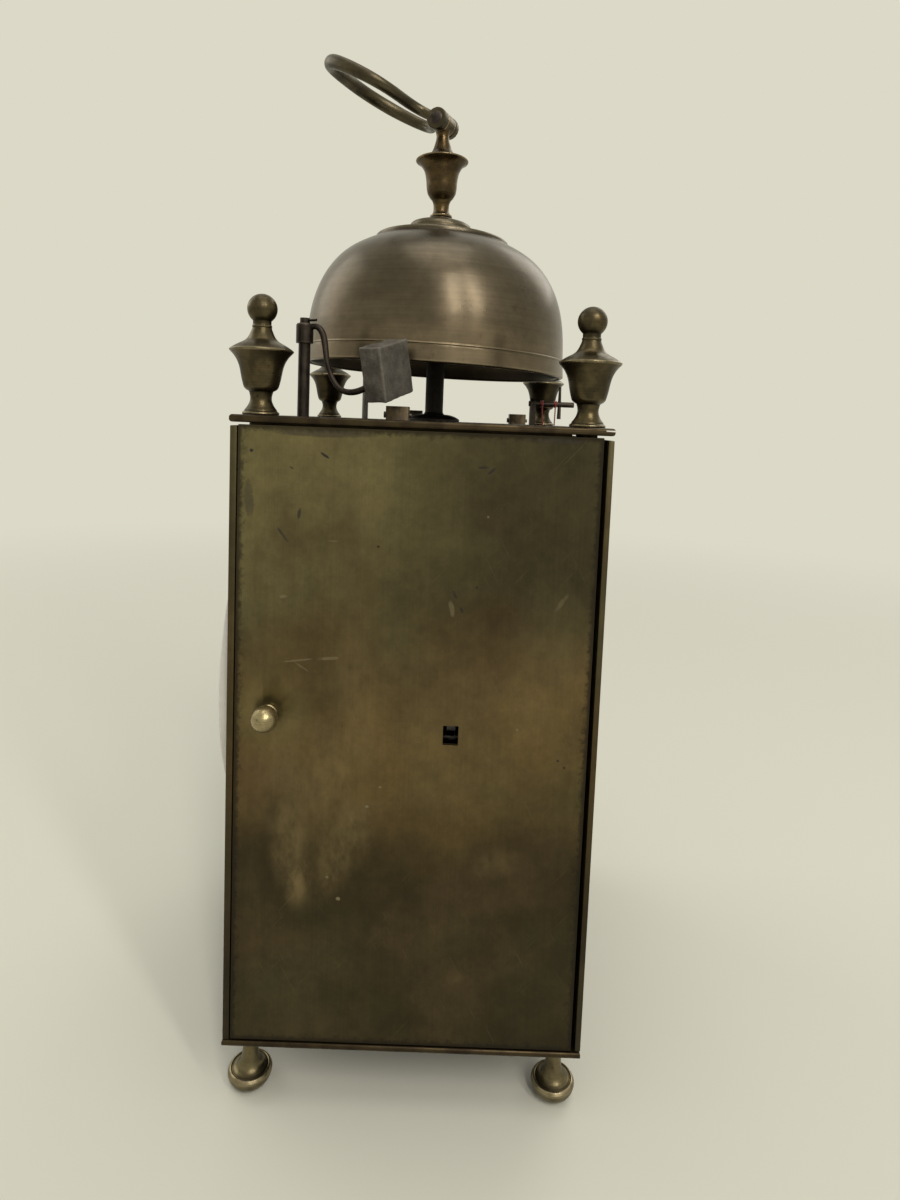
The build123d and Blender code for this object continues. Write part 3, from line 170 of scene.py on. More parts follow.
def arc_points(corners: Array, gap: float) -> Array:
    """Points on the circle through three points.

    The centre is equally far from all three, and the angle goes from the first to the last past the second.

    Args:
        corners: the three points, one in each row.
        gap: about how far apart the new points lie.

    Returns:
        The points, one in each row.
    """
    a, b, c = corners
    centre = np.linalg.solve(2 * np.array([b - a, c - a]), np.array([b @ b - a @ a, c @ c - a @ a]))
    radius = np.linalg.norm(a - centre)
    start, middle, end = (math.atan2(p[1] - centre[1], p[0] - centre[0]) for p in (a, b, c))
    sweep, through = (end - start) % (2 * np.pi), (middle - start) % (2 * np.pi)
    sweep = sweep if through <= sweep else sweep - 2 * np.pi
    angle = start + sweep * np.linspace(0, 1, max(4, int(abs(sweep) * radius / gap) + 2))
    return centre + radius * np.column_stack([np.cos(angle), np.sin(angle)])


def curve_points(knots: Array, gap: float) -> Array:
    """Points on the natural cubic spline through the knots, with chord length as its parameter.

    Its second derivatives m solve one linear system. Between knots at distances w and u, of a span h, the
    point is (m0 w^3 + m1 u^3) / 6h + (p0 / h - m0 h / 6) w + (p1 / h - m1 h / 6) u.

    Args:
        knots: the points that the curve goes through, one in each row.
        gap: about how far apart the new points lie.

    Returns:
        The points, one in each row.
    """
    reach = np.concatenate([[0.0], np.cumsum(np.linalg.norm(np.diff(knots, axis=0), axis=1))])
    span, count = np.diff(reach), len(knots)
    slope = np.diff(knots, axis=0) / span[:, None]
    system, wanted = np.eye(count), np.zeros_like(knots)
    inner = np.arange(1, count - 1)
    system[inner, inner - 1], system[inner, inner + 1] = span[:-1], span[1:]
    system[inner, inner] = 2 * (span[:-1] + span[1:])
    wanted[inner] = 6 * np.diff(slope, axis=0)
    bend = np.linalg.solve(system, wanted)
    along = np.linspace(0, reach[-1], max(4, int(reach[-1] / gap) + 2))
    k = np.clip(np.searchsorted(reach, along, side="right") - 1, 0, count - 2)
    u, w, h = (along - reach[k])[:, None], (reach[k + 1] - along)[:, None], span[k][:, None]
    return (
        (bend[k] * w**3 + bend[k + 1] * u**3) / (6 * h)
        + (knots[k] / h - bend[k] * h / 6) * w
        + (knots[k + 1] / h - bend[k + 1] * h / 6) * u
    )


@dataclass(frozen=True)
class Outline:
    """Half section of a turned piece, as (radius, height) points that go up its outside.

    `soften` is how far from a corner its rounding starts, and `gap` the step between points.
    """

    start: Point
    runs: tuple[tuple[Run, tuple[Point, ...]], ...]
    soften: float = 0.18
    gap: float = 0.5

    def points(self) -> Array:
        """Follows the runs one after another.

        Returns:
            The outline as closely spaced points, with its corners softened.
        """
        makers = {LINE: line_points, ARC: arc_points, CURVE: curve_points}
        parts, at = [np.array([self.start], float)], self.start
        for kind, knots in self.runs:
            parts.append(makers[kind](np.array([at, *knots], float), self.gap)[1:])
            at = knots[-1]
        return self._softened(np.vstack(parts))

    def _softened(self, raw: Array) -> Array:
        """Each corner P between A and B becomes the parabola from P towards A to P towards B.

        Args:
            raw: the outline's points with sharp corners.

        Returns:
            The points with every corner but the flattest ones softened.
        """
        made = [raw[0]]
        for before, corner, after in zip(raw[:-2], raw[1:-1], raw[2:]):
            back, on = before - corner, after - corner
            long_back, long_on = np.linalg.norm(back), np.linalg.norm(on)
            cosine = back @ on / (long_back * long_on)
            if cosine < NEARLY_STRAIGHT:
                made.append(corner)
                continue
            cut = min(self.soften, CUT_SHARE * long_back, CUT_SHARE * long_on)
            p, q = corner + back / long_back * cut, corner + on / long_on * cut
            t = np.linspace(0, 1, 5)[:, None]
            made.extend((1 - t) ** 2 * p + 2 * t * (1 - t) * corner + t**2 * q)
        return np.vstack([*made, raw[-1]])

    @staticmethod
    def bulge(points: Array) -> Array:
        """How far the outline turns from a little before each point to a little after it.

        Args:
            points: the outline's points.

        Returns:
            From -1 in a groove to 1 on an edge, one value for each point.
        """
        step = np.diff(points, axis=0)
        long = np.linalg.norm(step, axis=1)
        at = np.concatenate([[0.0], np.cumsum(long)])
        heading = np.unwrap(np.arctan2(step[:, 1], step[:, 0]))
        middle = (at[1:] + at[:-1]) / 2
        turned = np.interp(at + WEAR_REACH, middle, heading) - np.interp(at - WEAR_REACH, middle, heading)
        x, y = points[:, 0], points[:, 1]
        side = np.sign(np.sum(x * np.roll(y, -1) - np.roll(x, -1) * y))
        return np.clip(side * turned / FULL_WEAR_TURN, -1, 1)


# ---- solids from grids


class Solid:
    """Closed surfaces gathered in millimetres that become one object in metres."""

    def __init__(self) -> None:
        """Starts with nothing."""
        self.points: list[Array] = []
        self.faces: list[list[int]] = []
        self.wear: list[Array] = []
        self.count = 0

    def add(self, points: Array, faces: Sequence[Array], wear: Array | None = None) -> Solid:
        """Adds a closed mesh and turns its faces outwards, which is where its volume is positive.

        Args:
            points: one row for each point.
            faces: arrays of triangles or quads.
            wear: from -1 in grooves to 1 on edges, one value for each point.

        Returns:
            This solid, so that calls can follow each other.
        """
        volume = sum(
            np.sum(np.cross(points[f[:, 0]], points[f[:, k]]) * points[f[:, k + 1]])
            for f in faces
            for k in range(1, f.shape[1] - 1)
        )
        for f in faces:
            self.faces.extend(((f if volume > 0 else f[:, ::-1]) + self.count).tolist())
        self.points.append(points)
        self.wear.append(np.zeros(len(points)) if wear is None else wear)
        self.count += len(points)
        return self

    def add_grid(
        self, grid: Array, ends: tuple[Array, Array] | None, wear: Array | None = None, ring: bool = False
    ) -> Solid:
        """Adds a grid whose columns close on themselves.

        Args:
            grid: points as (rows, columns, 3).
            ends: the two points that close the first and the last row, or None.
            wear: one value for each row.
            ring: whether the last row joins the first.

        Returns:
            This solid.
        """
        rows, columns = grid.shape[:2]
        index = np.arange(rows * columns).reshape(rows, columns)
        right = np.roll(index, -1, axis=1)
        above, above_right = (np.roll(a, -1, axis=0) for a in (index, right))
        keep = rows if ring else rows - 1
        faces = [np.stack([index, right, above_right, above], axis=-1)[:keep].reshape(-1, 4)]
        points = grid.reshape(-1, 3)
        values = np.repeat(np.zeros(rows) if wear is None else wear, columns)
        if ends is not None:
            low, high = len(points), len(points) + 1
            points = np.vstack([points, *[np.reshape(e, (1, 3)) for e in ends]])
            values = np.concatenate([values, [values[0], values[-1]]])
            faces.append(np.column_stack([right[0], index[0], np.full(columns, low)]))
            faces.append(np.column_stack([index[-1], right[-1], np.full(columns, high)]))
        return self.add(points, faces, values)

    def lathe(self, outline: Outline, matrix: Array, turns: int = 72) -> Solid:
        """Adds a turned surface: (r cos a, r sin a, h) at angle a for each (r, h) of the outline.

        Args:
            outline: the half section, closed on the axis or on itself.
            matrix: carries the turned piece, whose axis is Z, to its place.
            turns: how many sides the round has.

        Returns:
            This solid.
        """
        half = outline.points()
        bulge = Outline.bulge(half)
        solid_core = half[0, 0] < ON_AXIS
        if solid_core:
            ends = [np.array([0.0, 0.0, half[k, 1]]) for k in (0, -1)]
            half, bulge = half[1:-1], bulge[1:-1]
        angle = around(turns)
        r, h = half[:, :1], np.broadcast_to(half[:, 1:], (len(half), turns))
        grid = np.stack([r * np.cos(angle), r * np.sin(angle), h], axis=-1)
        closing = tuple(placed(e, matrix) for e in ends) if solid_core else None
        return self.add_grid(placed(grid, matrix), closing, bulge, ring=not solid_core)

    def tube(
        self, path: Array, across: Array | float, up: Array | float, side: Point, matrix: Array, sides: int
    ) -> Solid:
        """Adds an oval rod along a path, with its section across the path's direction.

        Args:
            path: the rod's middle line, one point in each row.
            across: the half axis square to the side direction, for all points or for each.
            up: the half axis along the side direction.
            side: a direction that is never along the path.
            matrix: carries the rod to its place.
            sides: how many sides its section has.

        Returns:
            This solid.
        """
        ahead = np.gradient(path, axis=0)
        ahead /= np.linalg.norm(ahead, axis=1, keepdims=True)
        width = np.cross(ahead, np.array(side, float))
        width /= np.linalg.norm(width, axis=1, keepdims=True)
        rise = np.cross(width, ahead)
        angle = around(sides)[None, :, None]
        a = np.broadcast_to(across, len(path))[:, None, None]
        b = np.broadcast_to(up, len(path))[:, None, None]
        grid = path[:, None] + a * np.cos(angle) * width[:, None] + b * np.sin(angle) * rise[:, None]
        return self.add_grid(placed(grid, matrix), (placed(path[0], matrix), placed(path[-1], matrix)))

    def block(self, size: Point, edge: float, matrix: Array, rough: float, cells: int) -> Solid:
        """Adds a block with rounded edges.

        A point q of the plain block goes to the inner block of size minus 2 x edge, and from there out by the
        edge radius towards q. Its surface may then be made uneven by a sum of sines of its place.

        Args:
            size: its three lengths.
            edge: the radius of its edges.
            matrix: carries it to its place.
            rough: how far the sines move the surface.
            cells: into how many steps each side is cut between its edges.

        Returns:
            This solid.
        """
        half = np.array(size) / 2
        inner = half - edge
        steps = [
            np.concatenate([np.linspace(-h, -i, 4), np.linspace(-i, i, cells)[1:-1], np.linspace(i, h, 4)])
            for h, i in zip(half, inner)
        ]
        sides, quads, count = [], [], 0
        for axis, way in ((axis, way) for axis in range(3) for way in (-1, 1)):
            u, v = (axis + 1) % 3, (axis + 2) % 3
            grid = np.full((len(steps[u]), len(steps[v]), 3), way * half[axis])
            grid[..., u], grid[..., v] = np.meshgrid(steps[u], steps[v], indexing="ij")
            k = count + np.arange(grid[..., 0].size).reshape(grid.shape[:2])
            ring = np.stack([k[:-1, :-1], k[1:, :-1], k[1:, 1:], k[:-1, 1:]], axis=-1)
            quads.append(ring.reshape(-1, 4)[:, ::way])
            sides.append(grid.reshape(-1, 3))
            count += k.size
        plain = np.vstack(sides)
        core = np.clip(plain, -inner, inner)
        out = plain - core
        points = core + edge * out / np.linalg.norm(out, axis=1, keepdims=True)
        seams = np.round(points, SEAM_DIGITS)
        _, first, same = np.unique(seams, axis=0, return_index=True, return_inverse=True)
        points, faces = points[first], same.ravel()[np.vstack(quads)]
        normal = points / np.linalg.norm(points, axis=1, keepdims=True)
        slow, quick = np.array([0.9, 0.5, 0.7]), np.array([-1.02, 1.87, 0.68])
        wave = np.sin(points @ slow + 1.1) + np.sin(points @ quick)
        points = points + normal * (rough * wave)[:, None]
        near = np.sort(half - np.abs(points), axis=1)[:, 1]
        worn_band = 2.2 * edge
        return self.add(placed(points, matrix), [faces], np.clip(1 - near / worn_band, 0, 1))

    def cut_out(self, rings: Iterable[Array], thick: float, bevel: float, matrix: Array) -> Solid:
        """Adds a flat piece with bevelled edges from its outline and its holes, all closed loops in XY."""
        return self.add_curve(filled_curve(rings, thick, bevel), matrix)

    def add_curve(self, curve: bpy.types.Curve, matrix: Array) -> Solid:
        """Adds the mesh that Blender fills and bevels from a curve or text, then removes the curve.

        Args:
            curve: the curve or text, in millimetres.
            matrix: carries the mesh to its place.

        Returns:
            This solid.
        """
        holder = linked("outline", curve)
        mesh = bpy.data.meshes.new_from_object(holder.evaluated_get(bpy.context.evaluated_depsgraph_get()))
        shape = bmesh.new()
        shape.from_mesh(mesh)
        bmesh.ops.remove_doubles(shape, verts=shape.verts, dist=SAME_CORNER)
        bmesh.ops.recalc_face_normals(shape, faces=shape.faces)
        bmesh.ops.triangulate(shape, faces=shape.faces)
        shape.verts.index_update()
        points = np.array([v.co for v in shape.verts])
        faces = np.array([[v.index for v in f.verts] for f in shape.faces])
        shape.free()
        bpy.data.objects.remove(holder)
        bpy.data.curves.remove(curve)
        bpy.data.meshes.remove(mesh)
        return self.add(placed(points, matrix), [faces])

    def make(self, name: str, crease: float = 32.0) -> bpy.types.Object:
        """Makes the object, in metres.

        Args:
            name: its name.
            crease: the angle in degrees above which an edge stays sharp.

        Returns:
            The object, at the origin.
        """
        mesh = bpy.data.meshes.new(name)
        mesh.from_pydata((np.vstack(self.points) * MM).tolist(), [], self.faces)
        wear = mesh.attributes.new("wear", "FLOAT", "POINT")
        wear.data.foreach_set("value", np.concatenate(self.wear).astype(np.float32))
        made = linked(name, mesh)
        smooth(made, crease)
        mesh.update()
        return made


def filled_curve(rings: Iterable[Array], thick: float, bevel: float) -> bpy.types.Curve:
    """A flat filled curve of closed loops, with its middle plane at z = 0.

    Args:
        rings: the outline and its holes, each as (x, y) rows.
        thick: its whole thickness.
        bevel: the radius of its edges.

    Returns:
        The curve.
    """
    curve = bpy.data.curves.new("outline", "CURVE")
    curve.dimensions, curve.fill_mode = "2D", "BOTH"
    curve.extrude, curve.bevel_depth, curve.bevel_resolution = thick / 2 - bevel, bevel, 2
    curve.offset = -bevel
    for ring in rings:
        spline = curve.splines.new("POLY")
        spline.points.add(len(ring) - 1)
        flat = np.column_stack([ring, np.zeros(len(ring)), np.ones(len(ring))])
        spline.points.foreach_set("co", flat.astype(np.float32).ravel())
        spline.use_cyclic_u = True
    return curve


def around(count: int) -> Array:
    """Angles of that many equal steps once round."""
    return np.linspace(0, 2 * np.pi, count, endpoint=False)


def circle(radius: float, count: int, centre: Point = (0.0, 0.0), tall: float = 1.0) -> Array:
    """Points of a circle, or of an oval whose height is `tall` times its width."""
    angle = around(count)
    return np.column_stack([centre[0] + radius * np.cos(angle), centre[1] + radius * tall * np.sin(angle)])


def linked(name: str, data: bpy.types.ID) -> bpy.types.Object:
    """A new object in the scene."""
    made = bpy.data.objects.new(name, data)
    bpy.context.scene.collection.objects.link(made)
    return made


def smooth(piece: bpy.types.Object, crease: float) -> None:
    """Shades a piece smooth except along edges that bend by more than the crease, in degrees."""
    piece.data.polygons.foreach_set("use_smooth", np.ones(len(piece.data.polygons), bool))
    piece.data.set_sharp_from_angle(angle=math.radians(crease))


def baked(piece: bpy.types.Object) -> bpy.types.Object:
    """Applies a piece's modifiers to its mesh.

    Args:
        piece: the object.

    Returns:
        The same object, without modifiers.
    """
    mesh = bpy.data.meshes.new_from_object(piece.evaluated_get(bpy.context.evaluated_depsgraph_get()))
    old, piece.data = piece.data, mesh
    piece.modifiers.clear()
    bpy.data.meshes.remove(old)
    return piece


# ---- material nodes


class Tree:
    """The nodes of one material. A pattern's sizes are given in millimetres of the object."""

    def __init__(self, name: str, metallic: float, roughness: float) -> None:
        """Starts a material with one principled shader and the object's own coordinates."""
        self.material = bpy.data.materials.new(name)
        self.material.use_nodes = True
        self.nodes, self.links = self.material.node_tree.nodes, self.material.node_tree.links
        self.nodes.clear()
        self.shader = self.nodes.new("ShaderNodeBsdfPrincipled")
        self.shader.inputs["Metallic"].default_value = metallic
        self.shader.inputs["Roughness"].default_value = roughness
        out = self.nodes.new("ShaderNodeOutputMaterial")
        self.links.new(self.shader.outputs["BSDF"], out.inputs["Surface"])
        self.here = self.nodes.new("ShaderNodeTexCoord").outputs["Object"]

    def feed(self, socket: Socket, value: Input) -> None:
        """Links a socket or sets its value.

        Args:
            socket: the input.
            value: what goes into it. A colour gets its fourth part here.
        """
        if isinstance(value, bpy.types.NodeSocket):
            self.links.new(value, socket)
        elif hasattr(socket.default_value, "__len__") and not isinstance(value, (float, int)):
            wanted = len(socket.default_value)
            socket.default_value = (*value, 1.0)[:wanted] if len(value) < wanted else value
        else:
            socket.default_value = value

    def maths(self, kind: str, a: Input, b: Input = 0.0) -> Socket:
        """Works out one value from one or two others.

        Args:
            kind: the name of the operation in Blender.
            a: the first value.
            b: the second value, where the operation has one.

        Returns:
            The result.
        """
        node = self.nodes.new("ShaderNodeMath")
        node.operation = kind
        self.feed(node.inputs[0], a)
        self.feed(node.inputs[1], b)
        return node.outputs[0]

    def plus(self, a: Input, b: Input) -> Socket:
        """Both values together."""
        return self.maths("ADD", a, b)

    def less(self, a: Input, b: Input) -> Socket:
        """The first value less the second."""
        return self.maths("SUBTRACT", a, b)

    def times(self, a: Input, b: Input) -> Socket:
        """The first value times the second."""
        return self.maths("MULTIPLY", a, b)

    def most(self, a: Input, b: Input) -> Socket:
        """The larger of two values."""
        return self.maths("MAXIMUM", a, b)

    def least(self, a: Input, b: Input) -> Socket:
        """The smaller of two values."""
        return self.maths("MINIMUM", a, b)

    def length(self, a: Socket, b: Socket) -> Socket:
        """The square root of a x a + b x b."""
        return self.maths("POWER", self.plus(self.times(a, a), self.times(b, b)), 0.5)

    def place(self, at: Point = (0, 0, 0), turned: Point = (0, 0, 0), size: Point = (1, 1, 1)) -> Socket:
        """Coordinates in a box of the object.

        Args:
            at: the box's middle, in millimetres.
            turned: its turns about X, Y and Z, in degrees.
            size: the three lengths that count as 1.

        Returns:
            The coordinates.
        """
        node = self.nodes.new("ShaderNodeMapping")
        node.vector_type = "TEXTURE"
        self.feed(node.inputs["Vector"], self.here)
        node.inputs["Location"].default_value = [v * MM for v in at]
        node.inputs["Rotation"].default_value = [math.radians(v) for v in turned]
        node.inputs["Scale"].default_value = [v * MM for v in size]
        return node.outputs[0]

    def noise(
        self, size: float | Point, detail: float, rough: float, seed: float = 0.0, warp: float = 0.0
    ) -> Socket:
        """Cloudy noise.

        Args:
            size: about how large its blots are, or three sizes along X, Y and Z.
            detail: how many finer layers there are.
            rough: how strong each finer layer is.
            seed: moves the noise, so that no two look alike.
            warp: how far it is stirred.

        Returns:
            Values about 0.5.
        """
        sizes = (size, size, size) if isinstance(size, (float, int)) else size
        moved = self.place(at=(seed * 37.0, seed * 11.0, -seed * 23.0), size=sizes)
        return self.drawn(moved, detail, rough, warp)

    def drawn(self, vector: Socket, detail: float, rough: float = 0.5, warp: float = 0.0) -> Socket:
        """Noise of coordinates that are already moved and scaled.

        Args:
            vector: the coordinates.
            detail: how many finer layers there are.
            rough: how strong each finer layer is.
            warp: how far it is stirred.

        Returns:
            Values about 0.5.
        """
        node = self.nodes.new("ShaderNodeTexNoise")
        self.feed(node.inputs["Vector"], vector)
        settings = {"Scale": 1.0, "Detail": detail, "Roughness": rough, "Distortion": warp}
        for key, value in settings.items():
            node.inputs[key].default_value = value
        return node.outputs["Fac"]

    def lines(self, value: Socket, scale: float, detail: float) -> Socket:
        """Noise of one value alone, which draws a line wherever that value stays the same.

        Args:
            value: what the noise depends on.
            scale: how quickly it changes with the value.
            detail: how many finer layers there are.

        Returns:
            Values about 0.5.
        """
        node = self.nodes.new("ShaderNodeTexNoise")
        node.noise_dimensions = "1D"
        node.inputs["Scale"].default_value, node.inputs["Detail"].default_value = scale, detail
        self.feed(node.inputs["W"], value)
        return node.outputs["Fac"]

    def spot(self, at: Point, turned: Point, size: Point) -> Socket:
        """An oval spot.

        Args:
            at: its middle, in millimetres.
            turned: its turns about X, Y and Z, in degrees.
            size: its half lengths.

        Returns:
            1 at its middle, falling to 0 at its edge.
        """
        node = self.nodes.new("ShaderNodeTexGradient")
        node.gradient_type = "SPHERICAL"
        self.feed(node.inputs["Vector"], self.place(at, turned, size))
        return node.outputs["Fac"]

    def ease(
        self, value: Input, low: float, high: float, to_low: float = 0.0, to_high: float = 1.0
    ) -> Socket:
        """Carries a value smoothly from one range to another and stops at its ends.

        Args:
            value: the value.
            low: what becomes to_low.
            high: what becomes to_high.
            to_low: the result at low.
            to_high: the result at high.

        Returns:
            The result.
        """
        node = self.nodes.new("ShaderNodeMapRange")
        node.interpolation_type = "SMOOTHSTEP"
        keys = ("Value", "From Min", "From Max", "To Min", "To Max")
        for key, v in zip(keys, (value, low, high, to_low, to_high)):
            self.feed(node.inputs[key], v)
        return node.outputs["Result"]

    def blend(self, amount: Input, a: Input, b: Input, kind: str = "MIX") -> Socket:
        """Lays one colour over another.

        Args:
            amount: from 0 for the first colour to 1 for the second.
            a: the first colour.
            b: the second colour.
            kind: how they are mixed, by its name in Blender.

        Returns:
            The colour.
        """
        node = self.nodes.new("ShaderNodeMix")
        node.data_type, node.blend_type = "RGBA", kind
        node.clamp_factor = True
        for key, v in ((0, amount), (6, a), (7, b)):
            self.feed(node.inputs[key], v)
        return node.outputs[2]

    def shaded(self, colour: Input, shade: Input) -> Socket:
        """A colour times a shade."""
        return self.blend(1.0, colour, shade, "MULTIPLY")

    def ramp(self, value: Input, stops: Sequence[tuple[float, Colour]]) -> Socket:
        """A run of colours along a value.

        Args:
            value: from 0 to 1.
            stops: where each colour stands, and the colour.

        Returns:
            The colour.
        """
        node = self.nodes.new("ShaderNodeValToRGB")
        node.color_ramp.interpolation = "B_SPLINE"
        bands = node.color_ramp.elements
        while len(bands) < len(stops):
            bands.new(0.5)
        for band, (at, colour) in zip(bands, stops):
            band.position, band.color = at, (*colour, 1.0)
        self.feed(node.inputs[0], value)
        return node.outputs[0]

    def axes(self, vector: Socket | None = None) -> tuple[Socket, Socket, Socket]:
        """Takes a vector apart.

        Args:
            vector: the vector. Without it, the object's coordinates in metres.

        Returns:
            Its three parts.
        """
        node = self.nodes.new("ShaderNodeSeparateXYZ")
        self.feed(node.inputs[0], vector or self.here)
        return tuple(node.outputs)

    def wear(self) -> Socket:
        """Reads the wear that is stored on the mesh.

        Returns:
            From -1 in grooves to 1 on edges.
        """
        node = self.nodes.new("ShaderNodeAttribute")
        node.attribute_name = "wear"
        return node.outputs["Fac"]

    def bump(self, height: Socket, depth: float, under: Socket | None = None) -> Socket:
        """Small relief that only the light sees.

        Args:
            height: from 0 to 1.
            depth: how deep 1 is, in millimetres.
            under: the relief that this one lies on.

        Returns:
            The normal.
        """
        node = self.nodes.new("ShaderNodeBump")
        node.inputs["Strength"].default_value = 1.0
        node.inputs["Distance"].default_value = depth * MM
        self.feed(node.inputs["Height"], height)
        if under is not None:
            self.feed(node.inputs["Normal"], under)
        return node.outputs[0]

    def finish(
        self,
        colour: Input,
        rough: Input | None = None,
        normal: Socket | None = None,
        metallic: Input | None = None,
    ) -> bpy.types.Material:
        """Feeds the shader.

        Args:
            colour: the base colour.
            rough: the roughness, if it differs from the one at the start.
            normal: the relief, if there is any.
            metallic: how metallic it is, if it differs from the start.

        Returns:
            The material.
        """
        wanted = {"Base Color": colour, "Roughness": rough, "Metallic": metallic, "Normal": normal}
        for key, value in wanted.items():
            if value is not None:
                self.feed(self.shader.inputs[key], value)
        return self.material


# ---- finishes


class Side(Enum):
    """The axis that a sheet lies square to."""

    ACROSS = "X"
    ALONG = "Y"


@dataclass(frozen=True)
class Mark:
    """A stain or a scratch on a sheet: its middle, its half length, half width and slant from level."""

    across: float
    height: float
    long: float
    wide: float
    slant: float = 0.0
    strength: float = 1.0


@dataclass(frozen=True)
class SheetBrass:
    """Old rolled brass sheet: uneven olive and brown, brushed upright, grimy along its edges and marked, and
    darkened with painted shade towards its foot and in its top back corner.

    The sheet's outer face lies at `at` along its side's axis, and `low` and `high` are its corners as
    (across, height). `dark`, `light` and `haze` are its marks, the hazy ones partly rubbed brass and partly
    painted reflection, and `halo` is the rubbed place round its knob.
    """

    name: str
    face: Side
    at: float
    low: Point
    high: Point
    dark: tuple[Mark, ...] = ()
    light: tuple[Mark, ...] = ()
    haze: tuple[Mark, ...] = ()
    halo: Point | None = None
    seed: float = 0.0
    # how strongly painted shade darkens the sheet's top back corner
    fade: float = 1.0
    dirt: float = 0.82
    # painted shade: the colours by height darken the sheet towards its foot
    by_height: tuple[tuple[float, Colour], ...] = (
        (0.0, (0.041, 0.033, 0.0135)), (0.10, (0.033, 0.0250, 0.0100)), (0.20, (0.041, 0.0295, 0.0114)),
        (0.32, (0.062, 0.0430, 0.0164)), (0.44, (0.088, 0.059, 0.0222)), (0.58, (0.116, 0.076, 0.0285)),
        (0.76, (0.116, 0.083, 0.0345)), (0.88, (0.122, 0.101, 0.0450)), (1.0, (0.146, 0.122, 0.0540)),
    )
    olive: Colour = (0.080, 0.073, 0.031)
    russet: Colour = (0.078, 0.050, 0.024)
    rubbed: Colour = (0.165, 0.138, 0.056)
    handled: Colour = (0.036, 0.032, 0.016)
    scratch: Colour = (0.190, 0.150, 0.080)
    # pale gold of the hazy patches: partly rubbed brass, partly painted reflection
    hazy: Colour = (0.250, 0.185, 0.085)
    pale: Colour = (0.205, 0.172, 0.104)
    stained: Colour = (0.022, 0.015, 0.008)
    grimy: Colour = (0.020, 0.015, 0.008)
    scratch_angles: Point = (28.0, -41.0)

    def material(self) -> bpy.types.Material:
        """Lays the clouds, the brushing, the marks and the edge grime over one another.

        Returns:
            The material, with relief from waves, brushing and pits.
        """
        tree = Tree(self.name, 0.82, 0.45)
        x, y, z = tree.axes()
        across = y if self.face is Side.ACROSS else x
        brushing = tree.noise((0.55, 0.55, 30.0), 2.0, 0.6, self.seed + 6)
        edge = tree.ease(tree.noise(2.2, 3.0, 0.7, self.seed + 7), 0.3, 0.7, 0.55, 1.35)
        colour = self._clouds(tree, across, z, brushing)
        colour = self._knob_halo(tree, colour, edge)
        mottle = tree.ease(tree.noise(3.2, 5.0, 0.68, self.seed + 12), 0.3, 0.7, 0.90, 1.10)
        colour = tree.shaded(colour, mottle)
        for number, angle in enumerate(self.scratch_angles):
            line = tree.ease(self._scratches(tree, angle, self.seed + 13 + number), 0.735, 0.80, 0.0, 0.22)
            colour = tree.blend(line, colour, self.scratch)
        # hazy patches, broken up by this noise: partly rubbed brass, partly painted reflection in pale gold
        worn = tree.ease(tree.noise((5.0, 5.0, 9.0), 5.0, 0.62, self.seed + 11), 0.22, 0.78)
        for mark in self.haze:
            patch = tree.times(tree.ease(self._spot(tree, mark), 0.0, 0.8, 0.0, mark.strength), worn)
            colour = tree.blend(patch, colour, self.hazy)
        colour = tree.blend(self._marks(tree, self.light, edge), colour, self.pale)
        stain = self._marks(tree, self.dark, edge)
        colour = tree.blend(stain, colour, self.stained)
        near = tree.least(self._inside(tree, across, 0), self._inside(tree, z, 1))
        grime = tree.ease(tree.times(near, edge), 0.3 * MM, 2.1 * MM, self.dirt, 0.0)
        colour = tree.blend(grime, colour, self.grimy)
        rough = tree.ease(tree.noise(21.0, 4.0, 0.6, self.seed + 8), 0.3, 0.7, 0.38, 0.54)
        rough = tree.most(rough, tree.ease(tree.most(stain, grime), 0.0, 1.0, 0.3, 0.72))
        wave = tree.bump(tree.noise(26.0, 1.0, 0.4, self.seed + 9), 0.55)
        grain = tree.bump(brushing, 0.006, under=wave)
        pits = tree.ease(tree.noise(1.5, 2.0, 0.5, self.seed + 10), 0.66, 0.76, 1.0, 0.0)
        relief = tree.bump(pits, 0.010, under=grain)
        return tree.finish(colour, rough, relief, tree.ease(stain, 0.0, 1.0, 0.82, 0.35))

    def _clouds(self, tree: Tree, across: Socket, z: Socket, brushing: Socket) -> Socket:
        """The colours by height, which darken towards the foot as painted shade, stirred by clouds, with
        olive and russet blots, and the shade over them, which holds painted shade in the top back corner.

        Args:
            tree: the material's nodes.
            across: the place across the sheet, in metres.
            z: the height, in metres.
            brushing: the fine upright grain.

        Returns:
            The colour.
        """
        height = tree.ease(z, self.low[1] * MM, self.high[1] * MM)
        side = tree.ease(across, self.low[0] * MM, self.high[0] * MM)
        level = tree.plus(height, tree.ease(tree.noise(58.0, 2.0, 0.5, self.seed + 1), 0.3, 0.7, -0.16, 0.16))
        # painted shade: the ramp darkens the sheet towards its foot
        colour = tree.ramp(level, self.by_height)
        blots = tree.ease(tree.noise(44.0, 2.0, 0.5, self.seed + 2), 0.45, 0.70, 0, 0.34)
        colour = tree.blend(blots, colour, self.olive)
        blots = tree.ease(tree.noise(34.0, 3.0, 0.55, self.seed + 3), 0.47, 0.70, 0, 0.42)
        colour = tree.blend(blots, colour, self.russet)
        shade = tree.ease(tree.noise(52.0, 2.5, 0.5, self.seed + 4), 0.34, 0.66, 0.82, 1.12)
        # painted shade: darkens the sheet's top back corner
        corner = tree.times(tree.ease(side, 0.10, 1.0), tree.ease(height, 0.58, 0.95))
        shade = tree.times(shade, tree.ease(corner, 0.0, 1.0, 1.0, 1.0 - 0.58 * self.fade))
        shade = tree.times(shade, tree.ease(tree.noise(9.0, 4.0, 0.6, self.seed + 5), 0.3, 0.7, 0.90, 1.09))
        return tree.shaded(colour, tree.times(shade, tree.ease(brushing, 0.25, 0.75, 0.955, 1.045)))

